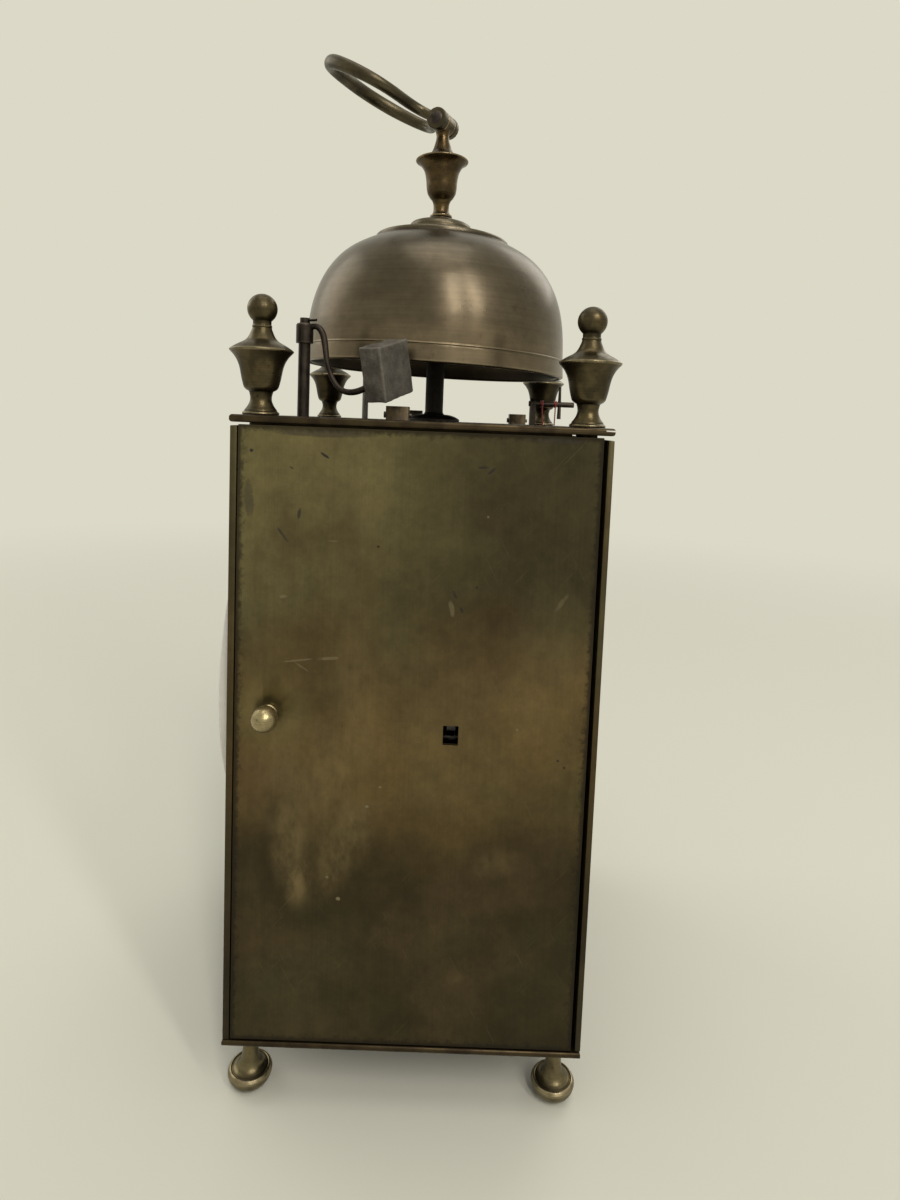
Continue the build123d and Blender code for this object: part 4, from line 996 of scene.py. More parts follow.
    def _knob_halo(self, tree: Tree, colour: Socket, edge: Socket) -> Socket:
        """A rubbed ring round the knob, with a dark core where fingers touch the sheet.

        Args:
            tree: the material's nodes.
            colour: the colour under it.
            edge: makes its border ragged.

        Returns:
            The colour, the same one where there is no knob.
        """
        if self.halo is None:
            return colour
        across, height = self.halo
        ring = tree.ease(self._spot(tree, Mark(across, height, 15.0, 14.0)), 0.0, 0.75, 0, 0.60)
        colour = tree.blend(ring, colour, self.rubbed)
        core = tree.times(self._spot(tree, Mark(across, height + 0.8, 5.4, 5.2)), edge)
        return tree.blend(tree.ease(core, 0.08, 0.36, 0, 0.55), colour, self.handled)

    def _spot(self, tree: Tree, mark: Mark) -> Socket:
        """The oval of a mark on the outer face.

        Args:
            tree: the material's nodes.
            mark: the mark.

        Returns:
            1 at its middle, falling to 0 at its edge.
        """
        if self.face is Side.ACROSS:
            at, angle = (self.at, mark.across, mark.height), (mark.slant, 0, 0)
            size = (1.0, mark.long, mark.wide)
        else:
            at, angle = (mark.across, self.at, mark.height), (0, -mark.slant, 0)
            size = (mark.long, 1.0, mark.wide)
        return tree.spot(at, angle, size)

    def _marks(self, tree: Tree, marks: tuple[Mark, ...], edge: Socket) -> Socket | float:
        """The strongest of the marks at each place.

        Args:
            tree: the material's nodes.
            marks: the marks.
            edge: makes their borders ragged.

        Returns:
            From 0 to 1.
        """
        total: Socket | float = 0.0
        for mark in marks:
            spot = tree.times(self._spot(tree, mark), edge)
            total = tree.most(total, tree.ease(spot, 0.12, 0.5, 0.0, mark.strength))
        return total

    def _scratches(self, tree: Tree, angle: float, seed: float) -> Socket:
        """Noise drawn out into long thin lines that lean from upright by an angle in degrees."""
        turned = (angle, 0, 0) if self.face is Side.ACROSS else (0, angle, 0)
        return tree.drawn(tree.place((seed, seed, seed), turned, (0.30, 0.30, 15.0)), 1.0)

    def _inside(self, tree: Tree, value: Socket, axis: int) -> Socket:
        """How far inside the sheet's two edges a place lies, in metres, across (0) or in height (1)."""
        low, high = self.low[axis] * MM, self.high[axis] * MM
        return tree.less((high - low) / 2, tree.maths("ABSOLUTE", tree.less(value, (low + high) / 2)))


@dataclass(frozen=True)
class Turned:
    """Turned metal with fine rings, dark in its grooves, bright on its worn edges and blotched by age.

    `ring` and `ring_depth` are the rings' width and depth, `at` and `lean` the turning axis, `blot` the size
    of the blots, `spots` how dark the specks are, and `far` the painted shade that darkens the side towards
    the left door, away from the light.
    """

    name: str
    body: Colour
    aged: Colour
    bright: Colour
    grime: Colour = (0.018, 0.014, 0.008)
    roughness: float = 0.34
    ring: float = 0.32
    ring_depth: float = 0.006
    at: Point = (0.0, 0.0, 0.0)
    lean: Point = (0.0, 0.0, 0.0)
    blot: float = 5.0
    spots: float = 0.65
    far: float = 1.0
    seed: float = 0.0

    def material(self) -> bpy.types.Material:
        """Rings are noise along the turning axis only; blots are soft clouds; wear comes from the mesh.

        Returns:
            The material.
        """
        tree = Tree(self.name, 0.94, self.roughness)
        lines = tree.drawn(tree.place(self.at, self.lean, (60.0, 60.0, self.ring)), 3.0)
        blots = tree.noise(self.blot, 4.0, 0.6, self.seed + 1, 0.4)
        colour = tree.blend(tree.ease(blots, 0.38, 0.64), self.body, self.aged)
        colour = tree.shaded(colour, tree.ease(lines, 0.25, 0.75, 0.86, 1.13))
        spots = tree.ease(tree.noise(1.5, 3.0, 0.6, self.seed + 2), 0.62, 0.72, 0.0, self.spots)
        colour = tree.blend(spots, colour, self.grime)
        # painted shade: the side towards the left door, away from the light, is darkened
        colour = tree.shaded(colour, tree.ease(tree.axes()[0], -20.0 * MM, 20.0 * MM, self.far, 1.0))
        wear = tree.wear()
        uneven = tree.ease(tree.noise(3.0, 3.0, 0.6, self.seed + 3), 0.30, 0.55, 0.35, 1.0)
        rubbed = tree.times(tree.ease(wear, 0.10, 0.70), uneven)
        colour = tree.blend(tree.times(rubbed, 0.75), colour, self.bright)
        colour = tree.blend(tree.ease(wear, -0.12, -0.75, 0.0, 0.85), colour, self.grime)
        rough = tree.ease(blots, 0.30, 0.70, self.roughness - 0.05, self.roughness + 0.13)
        rough = tree.less(rough, tree.times(rubbed, 0.08))
        dents = tree.bump(tree.noise(4.0, 2.0, 0.5, self.seed + 4), 0.10)
        return tree.finish(colour, rough, tree.bump(lines, self.ring_depth, under=dents))


@dataclass(frozen=True)
class BellMetal:
    """Brown-grey bell metal with turning lines, a golden lower band that is partly painted reflection, and a
    hollow darkened with painted shade.

    `seat` and `lean` are the place and lean of its axis, `height` is from its seat down to its lip, and
    `hollow` holds the radius outside which there is no painted shade, at the lip and at the seat.
    """

    name: str
    seat: Point
    lean: Point
    height: float
    # the bright lowest stops are the golden lip band: partly the band's own colour, partly painted reflection
    by_height: tuple[tuple[float, Colour], ...] = (
        (0.0, (0.150, 0.117, 0.074)), (0.11, (0.138, 0.107, 0.067)), (0.17, (0.098, 0.077, 0.050)),
        (0.45, (0.088, 0.070, 0.046)), (0.75, (0.083, 0.068, 0.047)), (1.0, (0.088, 0.073, 0.052)),
    )
    stained: Colour = (0.052, 0.040, 0.026)
    rubbed: Colour = (0.27, 0.22, 0.145)
    groove: Colour = (0.040, 0.031, 0.020)
    # the painted shade inside the bell's hollow
    soot: Colour = (0.016, 0.012, 0.009)
    hollow: Point = (46.6, 20.0)

    def material(self) -> bpy.types.Material:
        """In the bell's own leaning frame: colour by height, rings by height and radius, painted shade near
        the axis inside the hollow.

        Returns:
            The material.
        """
        tree = Tree(self.name, 0.92, 0.34)
        x, y, h = tree.axes(tree.place(self.seat, self.lean, (1.0, 1.0, 1.0)))
        out = tree.length(x, y)
        cloud = tree.ease(tree.noise(30.0, 3.0, 0.55, 5.0), 0.3, 0.7, -0.04, 0.04)
        colour = tree.ramp(tree.plus(tree.ease(h, -self.height, 3.0), cloud), self.by_height)
        lines = tree.lines(tree.plus(tree.times(h, 2.3), tree.times(out, 1.7)), 1.0, 4.0)
        shade = tree.ease(tree.noise((90.0, 90.0, 3.4), 2.0, 0.5, 7.0), 0.3, 0.7, 0.96, 1.04)
        shade = tree.times(shade, tree.ease(lines, 0.25, 0.75, 0.965, 1.035))
        shade = tree.times(shade, tree.ease(tree.noise(15.0, 4.0, 0.6, 8.0), 0.3, 0.7, 0.86, 1.12))
        shade = tree.times(shade, tree.ease(tree.noise(4.0, 4.0, 0.65, 9.0), 0.3, 0.7, 0.92, 1.08))
        colour = tree.shaded(colour, shade)
        stain = tree.ease(tree.noise(3.2, 4.0, 0.65, 11.0), 0.62, 0.74, 0.0, 0.45)
        colour = tree.blend(stain, colour, self.stained)
        streak = tree.noise((30.0, 30.0, 1.1), 3.0, 0.6, 15.0)
        colour = tree.shaded(colour, tree.ease(streak, 0.3, 0.7, 0.93, 1.07))
        wear = tree.wear()
        worn = tree.times(tree.ease(wear, 0.12, 0.8), tree.ease(h, -12.0, -30.0, 0.14, 0.42))
        colour = tree.blend(worn, colour, self.rubbed)
        colour = tree.blend(tree.ease(wear, -0.10, -0.6, 0.0, 0.55), colour, self.groove)
        # painted shade: the inside of the bell is darkened
        reach = tree.less(out, tree.ease(h, -self.height, 0.0, *self.hollow))
        colour = tree.blend(tree.ease(reach, 0.0, -1.2, 0.0, 0.9), colour, self.soot)
        rough = tree.ease(tree.noise(9.0, 4.0, 0.6, 13.0), 0.30, 0.70, 0.27, 0.31)
        return tree.finish(colour, rough, tree.bump(lines, 0.003))


@dataclass(frozen=True)
class Iron:
    """Dark oiled iron or steel with a filed grain and a breath of rust.

    `grain` is its size along X, Y and Z, and `rust` and `worn` are how strong rust and pale edges are.
    """

    name: str
    body: Colour
    pale: Colour
    rust: float = 0.25
    roughness: float = 0.46
    grain: Point = (0.35, 0.35, 6.0)
    metallic: float = 0.85
    worn: float = 0.5
    seed: float = 0.0
    rusty: Colour = (0.070, 0.038, 0.020)

    def material(self) -> bpy.types.Material:
        """Clouds between two greys, fine grain along the piece, rust in small spots and pale worn edges.

        Returns:
            The material.
        """
        tree = Tree(self.name, self.metallic, self.roughness)
        grain = tree.noise(self.grain, 3.0, 0.6, self.seed + 1)
        cloud = tree.noise(4.0, 4.0, 0.6, self.seed + 2)
        colour = tree.blend(tree.ease(cloud, 0.36, 0.66), self.body, self.pale)
        colour = tree.shaded(colour, tree.ease(grain, 0.25, 0.75, 0.78, 1.22))
        spots = tree.ease(tree.noise(1.6, 4.0, 0.65, self.seed + 3), 0.54, 0.72, 0.0, self.rust)
        colour = tree.blend(spots, colour, self.rusty)
        rubbed = tree.ease(tree.wear(), 0.25, 0.95, 0.0, self.worn)
        colour = tree.blend(rubbed, colour, tuple(min(1.0, 2.1 * c) for c in self.pale))
        rough = tree.ease(cloud, 0.3, 0.7, self.roughness - 0.06, self.roughness + 0.14)
        pitted = tree.bump(tree.noise(1.1, 3.0, 0.6, self.seed + 4), 0.035)
        return tree.finish(colour, rough, tree.bump(grain, 0.010, under=pitted))


@dataclass(frozen=True)
class Enamel:
    """Fired white enamel: a wavy gloss, ivory clouds and a little dirt near its edge and holes.

    Each of the holes is (x, z, how far its dirt reaches).
    """

    name: str
    centre: Point
    radius: float
    holes: tuple[Point, ...]
    white: Colour = (0.80, 0.79, 0.745)
    ivory: Colour = (0.755, 0.735, 0.665)
    speckled: Colour = (0.30, 0.26, 0.20)
    dirty: Colour = (0.40, 0.35, 0.26)

    def material(self) -> bpy.types.Material:
        """Ivory over white by clouds; dirt grows towards the rim and the holes.

        Returns:
            The material.
        """
        tree = Tree(self.name, 0.0, 0.16)
        tree.shader.inputs["IOR"].default_value = 1.52
        clouds = tree.ease(tree.noise(26.0, 3.0, 0.55, 3.0), 0.35, 0.7)
        colour = tree.blend(clouds, self.white, self.ivory)
        speck = tree.ease(tree.noise(0.9, 2.0, 0.5, 4.0), 0.75, 0.80, 0.0, 0.35)
        colour = tree.blend(speck, colour, self.speckled)
        dirt: Socket | float = 0.0
        for x, z, reach in self.holes:
            spot = tree.spot((x, self.centre[1], z), (0, 0, 0), (reach, 60.0, reach))
            dirt = tree.most(dirt, tree.ease(spot, 0.0, 0.45, 0.0, 0.42))
        rim = tree.spot(self.centre, (0, 0, 0), (self.radius * 1.06, 200.0, self.radius * 1.06))
        dirt = tree.most(dirt, tree.ease(rim, 0.10, 0.055, 0.0, 0.18))
        dirt = tree.times(dirt, tree.ease(tree.noise(3.0, 4.0, 0.6, 6.0), 0.3, 0.7, 0.3, 1.0))
        colour = tree.blend(dirt, colour, self.dirty)
        rough = tree.ease(tree.noise(12.0, 3.0, 0.5, 8.0), 0.3, 0.7, 0.12, 0.22)
        return tree.finish(colour, rough, tree.bump(tree.noise(7.0, 2.0, 0.4, 9.0), 0.05))


@dataclass(frozen=True)
class Ink:
    """Painted numerals, black with a brown tinge where thin."""

    name: str = "dial_ink"
    black: Colour = (0.010, 0.010, 0.012)
    brown: Colour = (0.035, 0.028, 0.022)

    def material(self) -> bpy.types.Material:
        """Near black, a little uneven.

        Returns:
            The material.
        """
        tree = Tree(self.name, 0.0, 0.35)
        thin = tree.ease(tree.noise(2.4, 3.0, 0.6), 0.45, 0.75, 0.0, 0.6)
        return tree.finish(tree.blend(thin, self.black, self.brown))


@dataclass(frozen=True)
class Silk:
    """Twisted silk thread, red and a little faded."""

    name: str = "red_silk_thread"
    deep: Colour = (0.16, 0.012, 0.012)
    bright: Colour = (0.42, 0.045, 0.035)

    def material(self) -> bpy.types.Material:
        """Fine fibres along the thread, with a soft sheen.

        Returns:
            The material.
        """
        tree = Tree(self.name, 0.0, 0.6)
        tree.shader.inputs["Sheen Weight"].default_value = 0.4
        fibre = tree.noise((0.12, 0.12, 1.5), 2.0, 0.6)
        colour = tree.blend(tree.ease(fibre, 0.3, 0.7), self.deep, self.bright)
        return tree.finish(colour, None, tree.bump(fibre, 0.03))


@dataclass(frozen=True)
class WheelBrass:
    """Movement brass, bright but aged, with rings round its own arbor, whose (x, z) is the centre."""

    name: str
    centre: Point
    pale: Colour = (0.58, 0.43, 0.19)
    dull: Colour = (0.34, 0.24, 0.10)
    stained: Colour = (0.10, 0.065, 0.03)

    def material(self) -> bpy.types.Material:
        """The rings are noise of the distance from the arbor, whose axis runs along Y.

        Returns:
            The material.
        """
        tree = Tree(self.name, 0.95, 0.3)
        x, _, z = tree.axes(tree.place((self.centre[0], 0, self.centre[1])))
        lines = tree.lines(tree.length(x, z), 3.0, 3.0)
        clouds = tree.ease(tree.noise(11.0, 4.0, 0.6, self.centre[0]), 0.35, 0.68)
        colour = tree.blend(clouds, self.pale, self.dull)
        colour = tree.shaded(colour, tree.ease(lines, 0.25, 0.75, 0.88, 1.1))
        spots = tree.ease(tree.noise(2.2, 3.0, 0.6, 4.0), 0.64, 0.76, 0.0, 0.7)
        colour = tree.blend(spots, colour, self.stained)
        rough = tree.ease(tree.noise(8.0, 3.0, 0.6, 2.0), 0.3, 0.7, 0.24, 0.42)
        return tree.finish(colour, rough, tree.bump(lines, 0.006))


# ---- putting pieces in the frame


class Workshop:
    """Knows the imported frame, hands pieces over to it and reports them."""

    def __init__(self, frame: dict) -> None:
        """Keeps the frame and where each node's finish slot is named."""
        self.frame = frame
        self.slots = {part["node"]: part["material_slot"] for part in frame["record"]["subparts"]}

    def body_of(self, node: str) -> str:
        """The body that a node belongs to."""
        bodies = self.frame["record"]["behaviour"]["bodies"]
        return next(body for body, nodes in bodies.items() if node in nodes)

    def hand_over(
        self, piece: bpy.types.Object, material: bpy.types.Material, node: str, replaces: bool = True
    ) -> None:
        """Gives a piece its material and body, and lets it stand for its node.

        Args:
            piece: the finished object.
            material: its one material.
            node: the CAD node that it stands for or is fixed to.
            replaces: whether the node is hidden.
        """
        piece.data.materials.clear()
        piece.data.materials.append(material)
        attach(piece, self.body_of(node))
        if replaces:
            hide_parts(node)
        LOG.info("%s: %d faces, rides %s", piece.name, len(piece.data.polygons), self.body_of(node))

    def dress(self, nodes: Sequence[str], material: bpy.types.Material) -> None:
        """Gives CAD nodes that keep their shape a finish.

        Args:
            nodes: the nodes.
            material: the finish.
        """
        for node in nodes:
            part = self.frame["nodes"][node]
            if not part.material_slots:
                part.data.materials.append(material)
            for held in part.material_slots:
                held.material = material
            LOG.info("%s: keeps its shape, finished in %s", node, material.name)

    def softened(self, name: str, node: str, width: float) -> bpy.types.Object:
        """A copy of a node with its doubles merged and a small round on its sharp edges.

        Args:
            name: the new piece's name.
            node: the CAD node, which is left as it is.
            width: how wide the round is, in millimetres.

        Returns:
            The new piece.
        """
        mesh = self.frame["nodes"][node].data.copy()
        mesh.name = name
        shape = bmesh.new()
        shape.from_mesh(mesh)
        bmesh.ops.remove_doubles(shape, verts=shape.verts, dist=SAME_NODE_POINT)
        flat = math.radians(FLAT_DEGREES)
        bmesh.ops.dissolve_limit(shape, angle_limit=flat, verts=shape.verts, edges=shape.edges)
        shape.to_mesh(mesh)
        shape.free()
        piece = linked(name, mesh)
        rounding = piece.modifiers.new("rounding", "BEVEL")
        rounding.width, rounding.segments = width * MM, 2
        rounding.limit_method, rounding.angle_limit = "ANGLE", math.radians(ROUNDED_DEGREES)
        rounding.use_clamp_overlap = True
        smooth(baked(piece), CREASE_DEGREES)
        return piece


# ---- the case


@dataclass
class Case:
    """Plates, pillars, doors, knobs, feet and corner finials.

    The marks of a door are its stains, its pale scratches and dabs, and its rubbed hazy places, which are
    partly painted reflection.
    """

    shop: Workshop
    plate_round: float = 0.55
    sheet_round: float = 0.22
    sheet_front: float = 52.0
    sheet_gaps: Point = (0.6, 2.8)
    foot_r: float = 6.9
    finial_r: float = 9.3
    ball: Point = (2.65, 27.5, 7.8)
    knob_sides: int = 56
    door_marks_dark: tuple[Mark, ...] = (
        Mark(-27.6, 202.1, 2.2, 0.55, -33), Mark(-48.5, 202.7, 0.9, 0.8),
        Mark(-49.0, 188.8, 1.9, 7.6, 4, 0.55), Mark(-34.5, 185.1, 0.7, 2.4, -8, 0.8),
        Mark(-39.2, 178.8, 3.6, 0.6, -52, 0.75),
        Mark(18.1, 200.3, 2.2, 0.6, 4), Mark(20.4, 199.4, 2.3, 0.65, 42), Mark(11.1, 163.0, 1.9, 0.7, -58),
        Mark(13.2, 158.6, 1.4, 0.7, -62), Mark(43.4, 114.3, 0.7, 0.7), Mark(45.4, 112.2, 0.6, 0.6),
        Mark(-28.0, 208.3, 20.0, 1.5, 0, 0.6), Mark(38.0, 208.6, 13.0, 1.3, 0, 0.5),
        Mark(-11.5, 176.3, 0.7, 0.6), Mark(17.4, 165.4, 0.6, 0.5), Mark(-37.0, 198.2, 1.0, 0.4, -30, 0.7),
    )
    door_marks_light: tuple[Mark, ...] = (
        Mark(10.3, 158.9, 1.1, 3.2, 10, 0.42), Mark(-38.6, 160.6, 1.6, 0.7, 8, 0.55),
        Mark(-34.0, 141.8, 6.0, 0.42, 8, 0.55), Mark(-25.0, 142.7, 4.2, 0.75, 6, 0.55),
        Mark(-32.6, 139.7, 3.6, 0.42, -32, 0.42), Mark(42.1, 161.7, 4.5, 0.9, 55, 0.25),
        Mark(-12.6, 98.0, 0.8, 0.6, 0, 0.8), Mark(-8.9, 104.2, 0.6, 0.5, 0, 0.7),
        Mark(-20.5, 68.8, 0.9, 0.8, 0, 0.9), Mark(-23.9, 75.5, 0.6, 0.5, 0, 0.7),
        Mark(19.8, 186.1, 0.5, 0.5, 0, 0.6),
        Mark(-24.5, 177.4, 2.4, 0.4, 0, 0.3), Mark(31.0, 123.3, 0.6, 0.6, 0, 0.45),
    )
    # pale hazy patches on the door: partly rubbed brass, partly painted reflection
    door_haze: tuple[Mark, ...] = (
        Mark(-20.0, 84.0, 26.0, 9.0, 59, 0.50), Mark(-35.2, 83.0, 22.0, 7.5, 96, 0.52),
        Mark(-33.0, 72.5, 9.5, 5.0, 84, 0.45), Mark(-24.0, 106.0, 28.0, 15.0, 80, 0.36),
        Mark(-15.5, 130.0, 30.0, 10.0, 100, 0.30), Mark(-40.0, 118.0, 40.0, 15.0, 90, 0.30),
        Mark(25.4, 82.0, 13.0, 6.5, 8, 0.24), Mark(14.7, 44.5, 6.0, 3.0, 20, 0.20),
        Mark(40.0, 138.0, 14.0, 30.0, 0, 0.14), Mark(-46.0, 60.0, 34.0, 4.0, 90, 0.10),
    )

    def build(self) -> None:
        """Builds the case from the ground up."""
        self._plates()
        self._sheets()
        self._feet()
        self._finials()
        self._knobs()

    def _plates(self) -> None:
        """Top and bottom plate with rounded edges, and the pillars between them."""
        finish = Turned(
            "plate_brass", (0.058, 0.042, 0.022), (0.034, 0.024, 0.014), (0.24, 0.182, 0.115),
            roughness=0.42, blot=9.0, ring=3.0,
        ).material()
        for node in ("bottom_plate", "top_plate"):
            self.shop.hand_over(self.shop.softened(f"{node}_rounded", node, self.plate_round), finish, node)
        self.shop.dress(("corner_pillars",), finish)

    def _sheets(self) -> None:
        """The doors, front plate and back panel in aged sheet brass."""
        stains, scratches, haze = self.door_marks_dark, self.door_marks_light, self.door_haze
        foot = node_box("bottom_plate")[1][2] + self.sheet_gaps[0]
        head = node_box("top_plate")[1][2] - self.sheet_gaps[1]
        for node, outer, seed, dark, light, hazy in (
            ("right_door", 1, 0.0, stains, scratches, haze),
            ("left_door", 0, 5.3, stains[2:9:2], scratches[4::3], haze[3:]),
        ):
            box = node_box(node)
            knob_low, knob_high = node_box(f"{node}_knob")
            knob = (knob_low + knob_high) / 2
            finish = SheetBrass(
                f"{node}_brass", Side.ACROSS, box[outer][0], (box[0][1], foot), (self.sheet_front, head),
                dark=dark, light=light, haze=hazy, halo=(knob[1], knob[2]), seed=seed,
            )
            self._sheet(node, finish)
        for node, outer, seed in (("front_plate", 0, 9.1), ("back_panel", 1, 13.7)):
            box = node_box(node)
            corners = (box[0][::2], box[1][::2])
            finish = SheetBrass(
                f"{node}_brass", Side.ALONG, box[outer][1], *corners, seed=seed, fade=0.3, dirt=0.35
            )
            self._sheet(node, finish)

    def _sheet(self, node: str, finish: SheetBrass) -> None:
        """Rounds the edges of one sheet and hands it over in its finish."""
        sheet = self.shop.softened(f"{node}_rounded", node, self.sheet_round)
        self.shop.hand_over(sheet, finish.material(), node)

    @staticmethod
    def _corners(node: str, radius: float, height: float) -> list[Array]:
        """The four places of a turned corner piece.

        Args:
            node: the CAD node of all four, whose box their widest radius reaches.
            radius: that radius.
            height: where they stand.

        Returns:
            Four matrices.
        """
        high = node_box(node)[1]
        x, y = high[0] - radius, high[1] - radius
        return [shift(sx * x, sy * y, height) for sx in (-1, 1) for sy in (-1, 1)]

    @staticmethod
    def cap_middle(radius: float, height: float, rise: float) -> Point:
        """The point half way along the arc of a cap.

        The cap's ball has radius b = (r^2 + rise^2) / 2 rise, and the arc from its edge to its top turns by
        a = acos((b - rise) / b). Half way the radius is b sin(a / 2), and the height is b (1 - cos(a / 2))
        below the top.

        Args:
            radius: the radius of the cap's edge.
            height: the height of its edge.
            rise: how far its top is above its edge.

        Returns:
            The point as (radius, height).
        """
        ball = (radius**2 + rise**2) / (2 * rise)
        half = math.acos((ball - rise) / ball) / 2
        return ball * math.sin(half), height + rise - ball * (1 - math.cos(half))

    def _feet(self) -> None:
        """Four feet: a thin bun with a groove inside its rim, under a neck that flares like a trumpet."""
        rise, r = node_box("bottom_plate")[0][2], self.foot_r
        outline = Outline((0, 0), (
            (LINE, ((3.4, 0.0),)),
            (ARC, ((5.9, 1.7), (r, 4.1))),
            (LINE, ((r - 0.05, 4.7), (6.3, 5.45))),
            (LINE, ((5.9, 5.6), (5.6, 5.4), (5.25, 5.6))),
            (CURVE, ((4.3, 6.1), (3.2, 7.6), (2.55, 10.2), (2.25, 14.5), (2.6, rise))),
            (LINE, ((0, rise),)),
        ), gap=0.35)
        solid = Solid()
        for matrix in self._corners("feet", r, 0.0):
            solid.lathe(outline, matrix)
        finish = Turned(
            "foot_brass", (0.165, 0.136, 0.074), (0.100, 0.080, 0.044), (0.36, 0.300, 0.19),
            grime=(0.040, 0.032, 0.018), seed=2.0,
        )
        self.shop.hand_over(solid.make("turned_feet"), finish.material(), "feet")

    def _finials(self) -> None:
        """Four urns with flared lids and balls."""
        neck, ball_foot, ball_rise = self.ball
        outline = Outline((0, 0), (
            (LINE, ((5.2, 0.0),)),
            (ARC, ((5.42, 0.45), (5.05, 0.95))),
            (LINE, ((4.75, 1.1), (4.7, 1.45))),
            (CURVE, ((3.9, 2.5), (3.1, 4.9), (3.5, 6.9))),
            (LINE, ((3.95, 7.15),)),
            (ARC, ((4.75, 7.75), (5.15, 8.6))),
            (CURVE, ((5.7, 10.8), (6.4, 14.2), (7.9, 17.2), (9.2, 18.6))),
            (LINE, ((self.finial_r, 18.95), (9.0, 19.2))),
            (CURVE, ((7.0, 20.5), (4.4, 22.1), (3.3, 24.0), (2.75, 25.4))),
            (LINE, ((2.86, 25.6), (2.86, 26.1), (neck, 26.3), (neck, ball_foot))),
            (ARC, (self.cap_middle(neck, ball_foot, ball_rise), (0.0, ball_foot + ball_rise))),
        ))
        solid = Solid()
        for matrix in self._corners("corner_finials", self.finial_r, node_box("top_plate")[1][2]):
            solid.lathe(outline, matrix)
        # far=0.5: painted shade darkens the finials on the left door's side
        finish = Turned(
            "finial_brass", (0.086, 0.066, 0.033), (0.048, 0.039, 0.021), (0.23, 0.190, 0.115),
            roughness=0.32, blot=4.5, far=0.5, seed=4.0,
        )
        self.shop.hand_over(solid.make("turned_finials"), finish.material(), "corner_finials")

    def _knobs(self) -> None:
        """A ball knob on a small collar on each door."""
        finish = Turned(
            "knob_brass_worn", (0.36, 0.30, 0.165), (0.25, 0.205, 0.11), (0.54, 0.46, 0.29),
            roughness=0.30, blot=3.0, seed=6.0,
        ).material()
        for door, side in (("right_door", 1), ("left_door", -1)):
            node = f"{door}_knob"
            low, high = node_box(node)
            face, reach = (side * node_box(d)[max(side, 0)][0] for d in (door, node))
            radius = (high[2] - low[2]) / 2
            outline = Outline((0, -1.0), (
                (LINE, ((1.2, -1.0), (1.2, 0.0), (2.6, 0.0))),
                (ARC, ((2.5, 0.7), (1.9, 1.1))),
                (LINE, ((1.7, 1.5),)),
                (ARC, ((radius, reach - face - radius), (0.0, reach - face))),
            ))
            middle = (low + high) / 2
            matrix = shift(side * face, middle[1], middle[2]) @ turn("Y", 90 * side)
            knob = Solid().lathe(outline, matrix, self.knob_sides).make(f"{node}_turned")
            self.shop.hand_over(knob, finish, node)


# ---- dial and hands


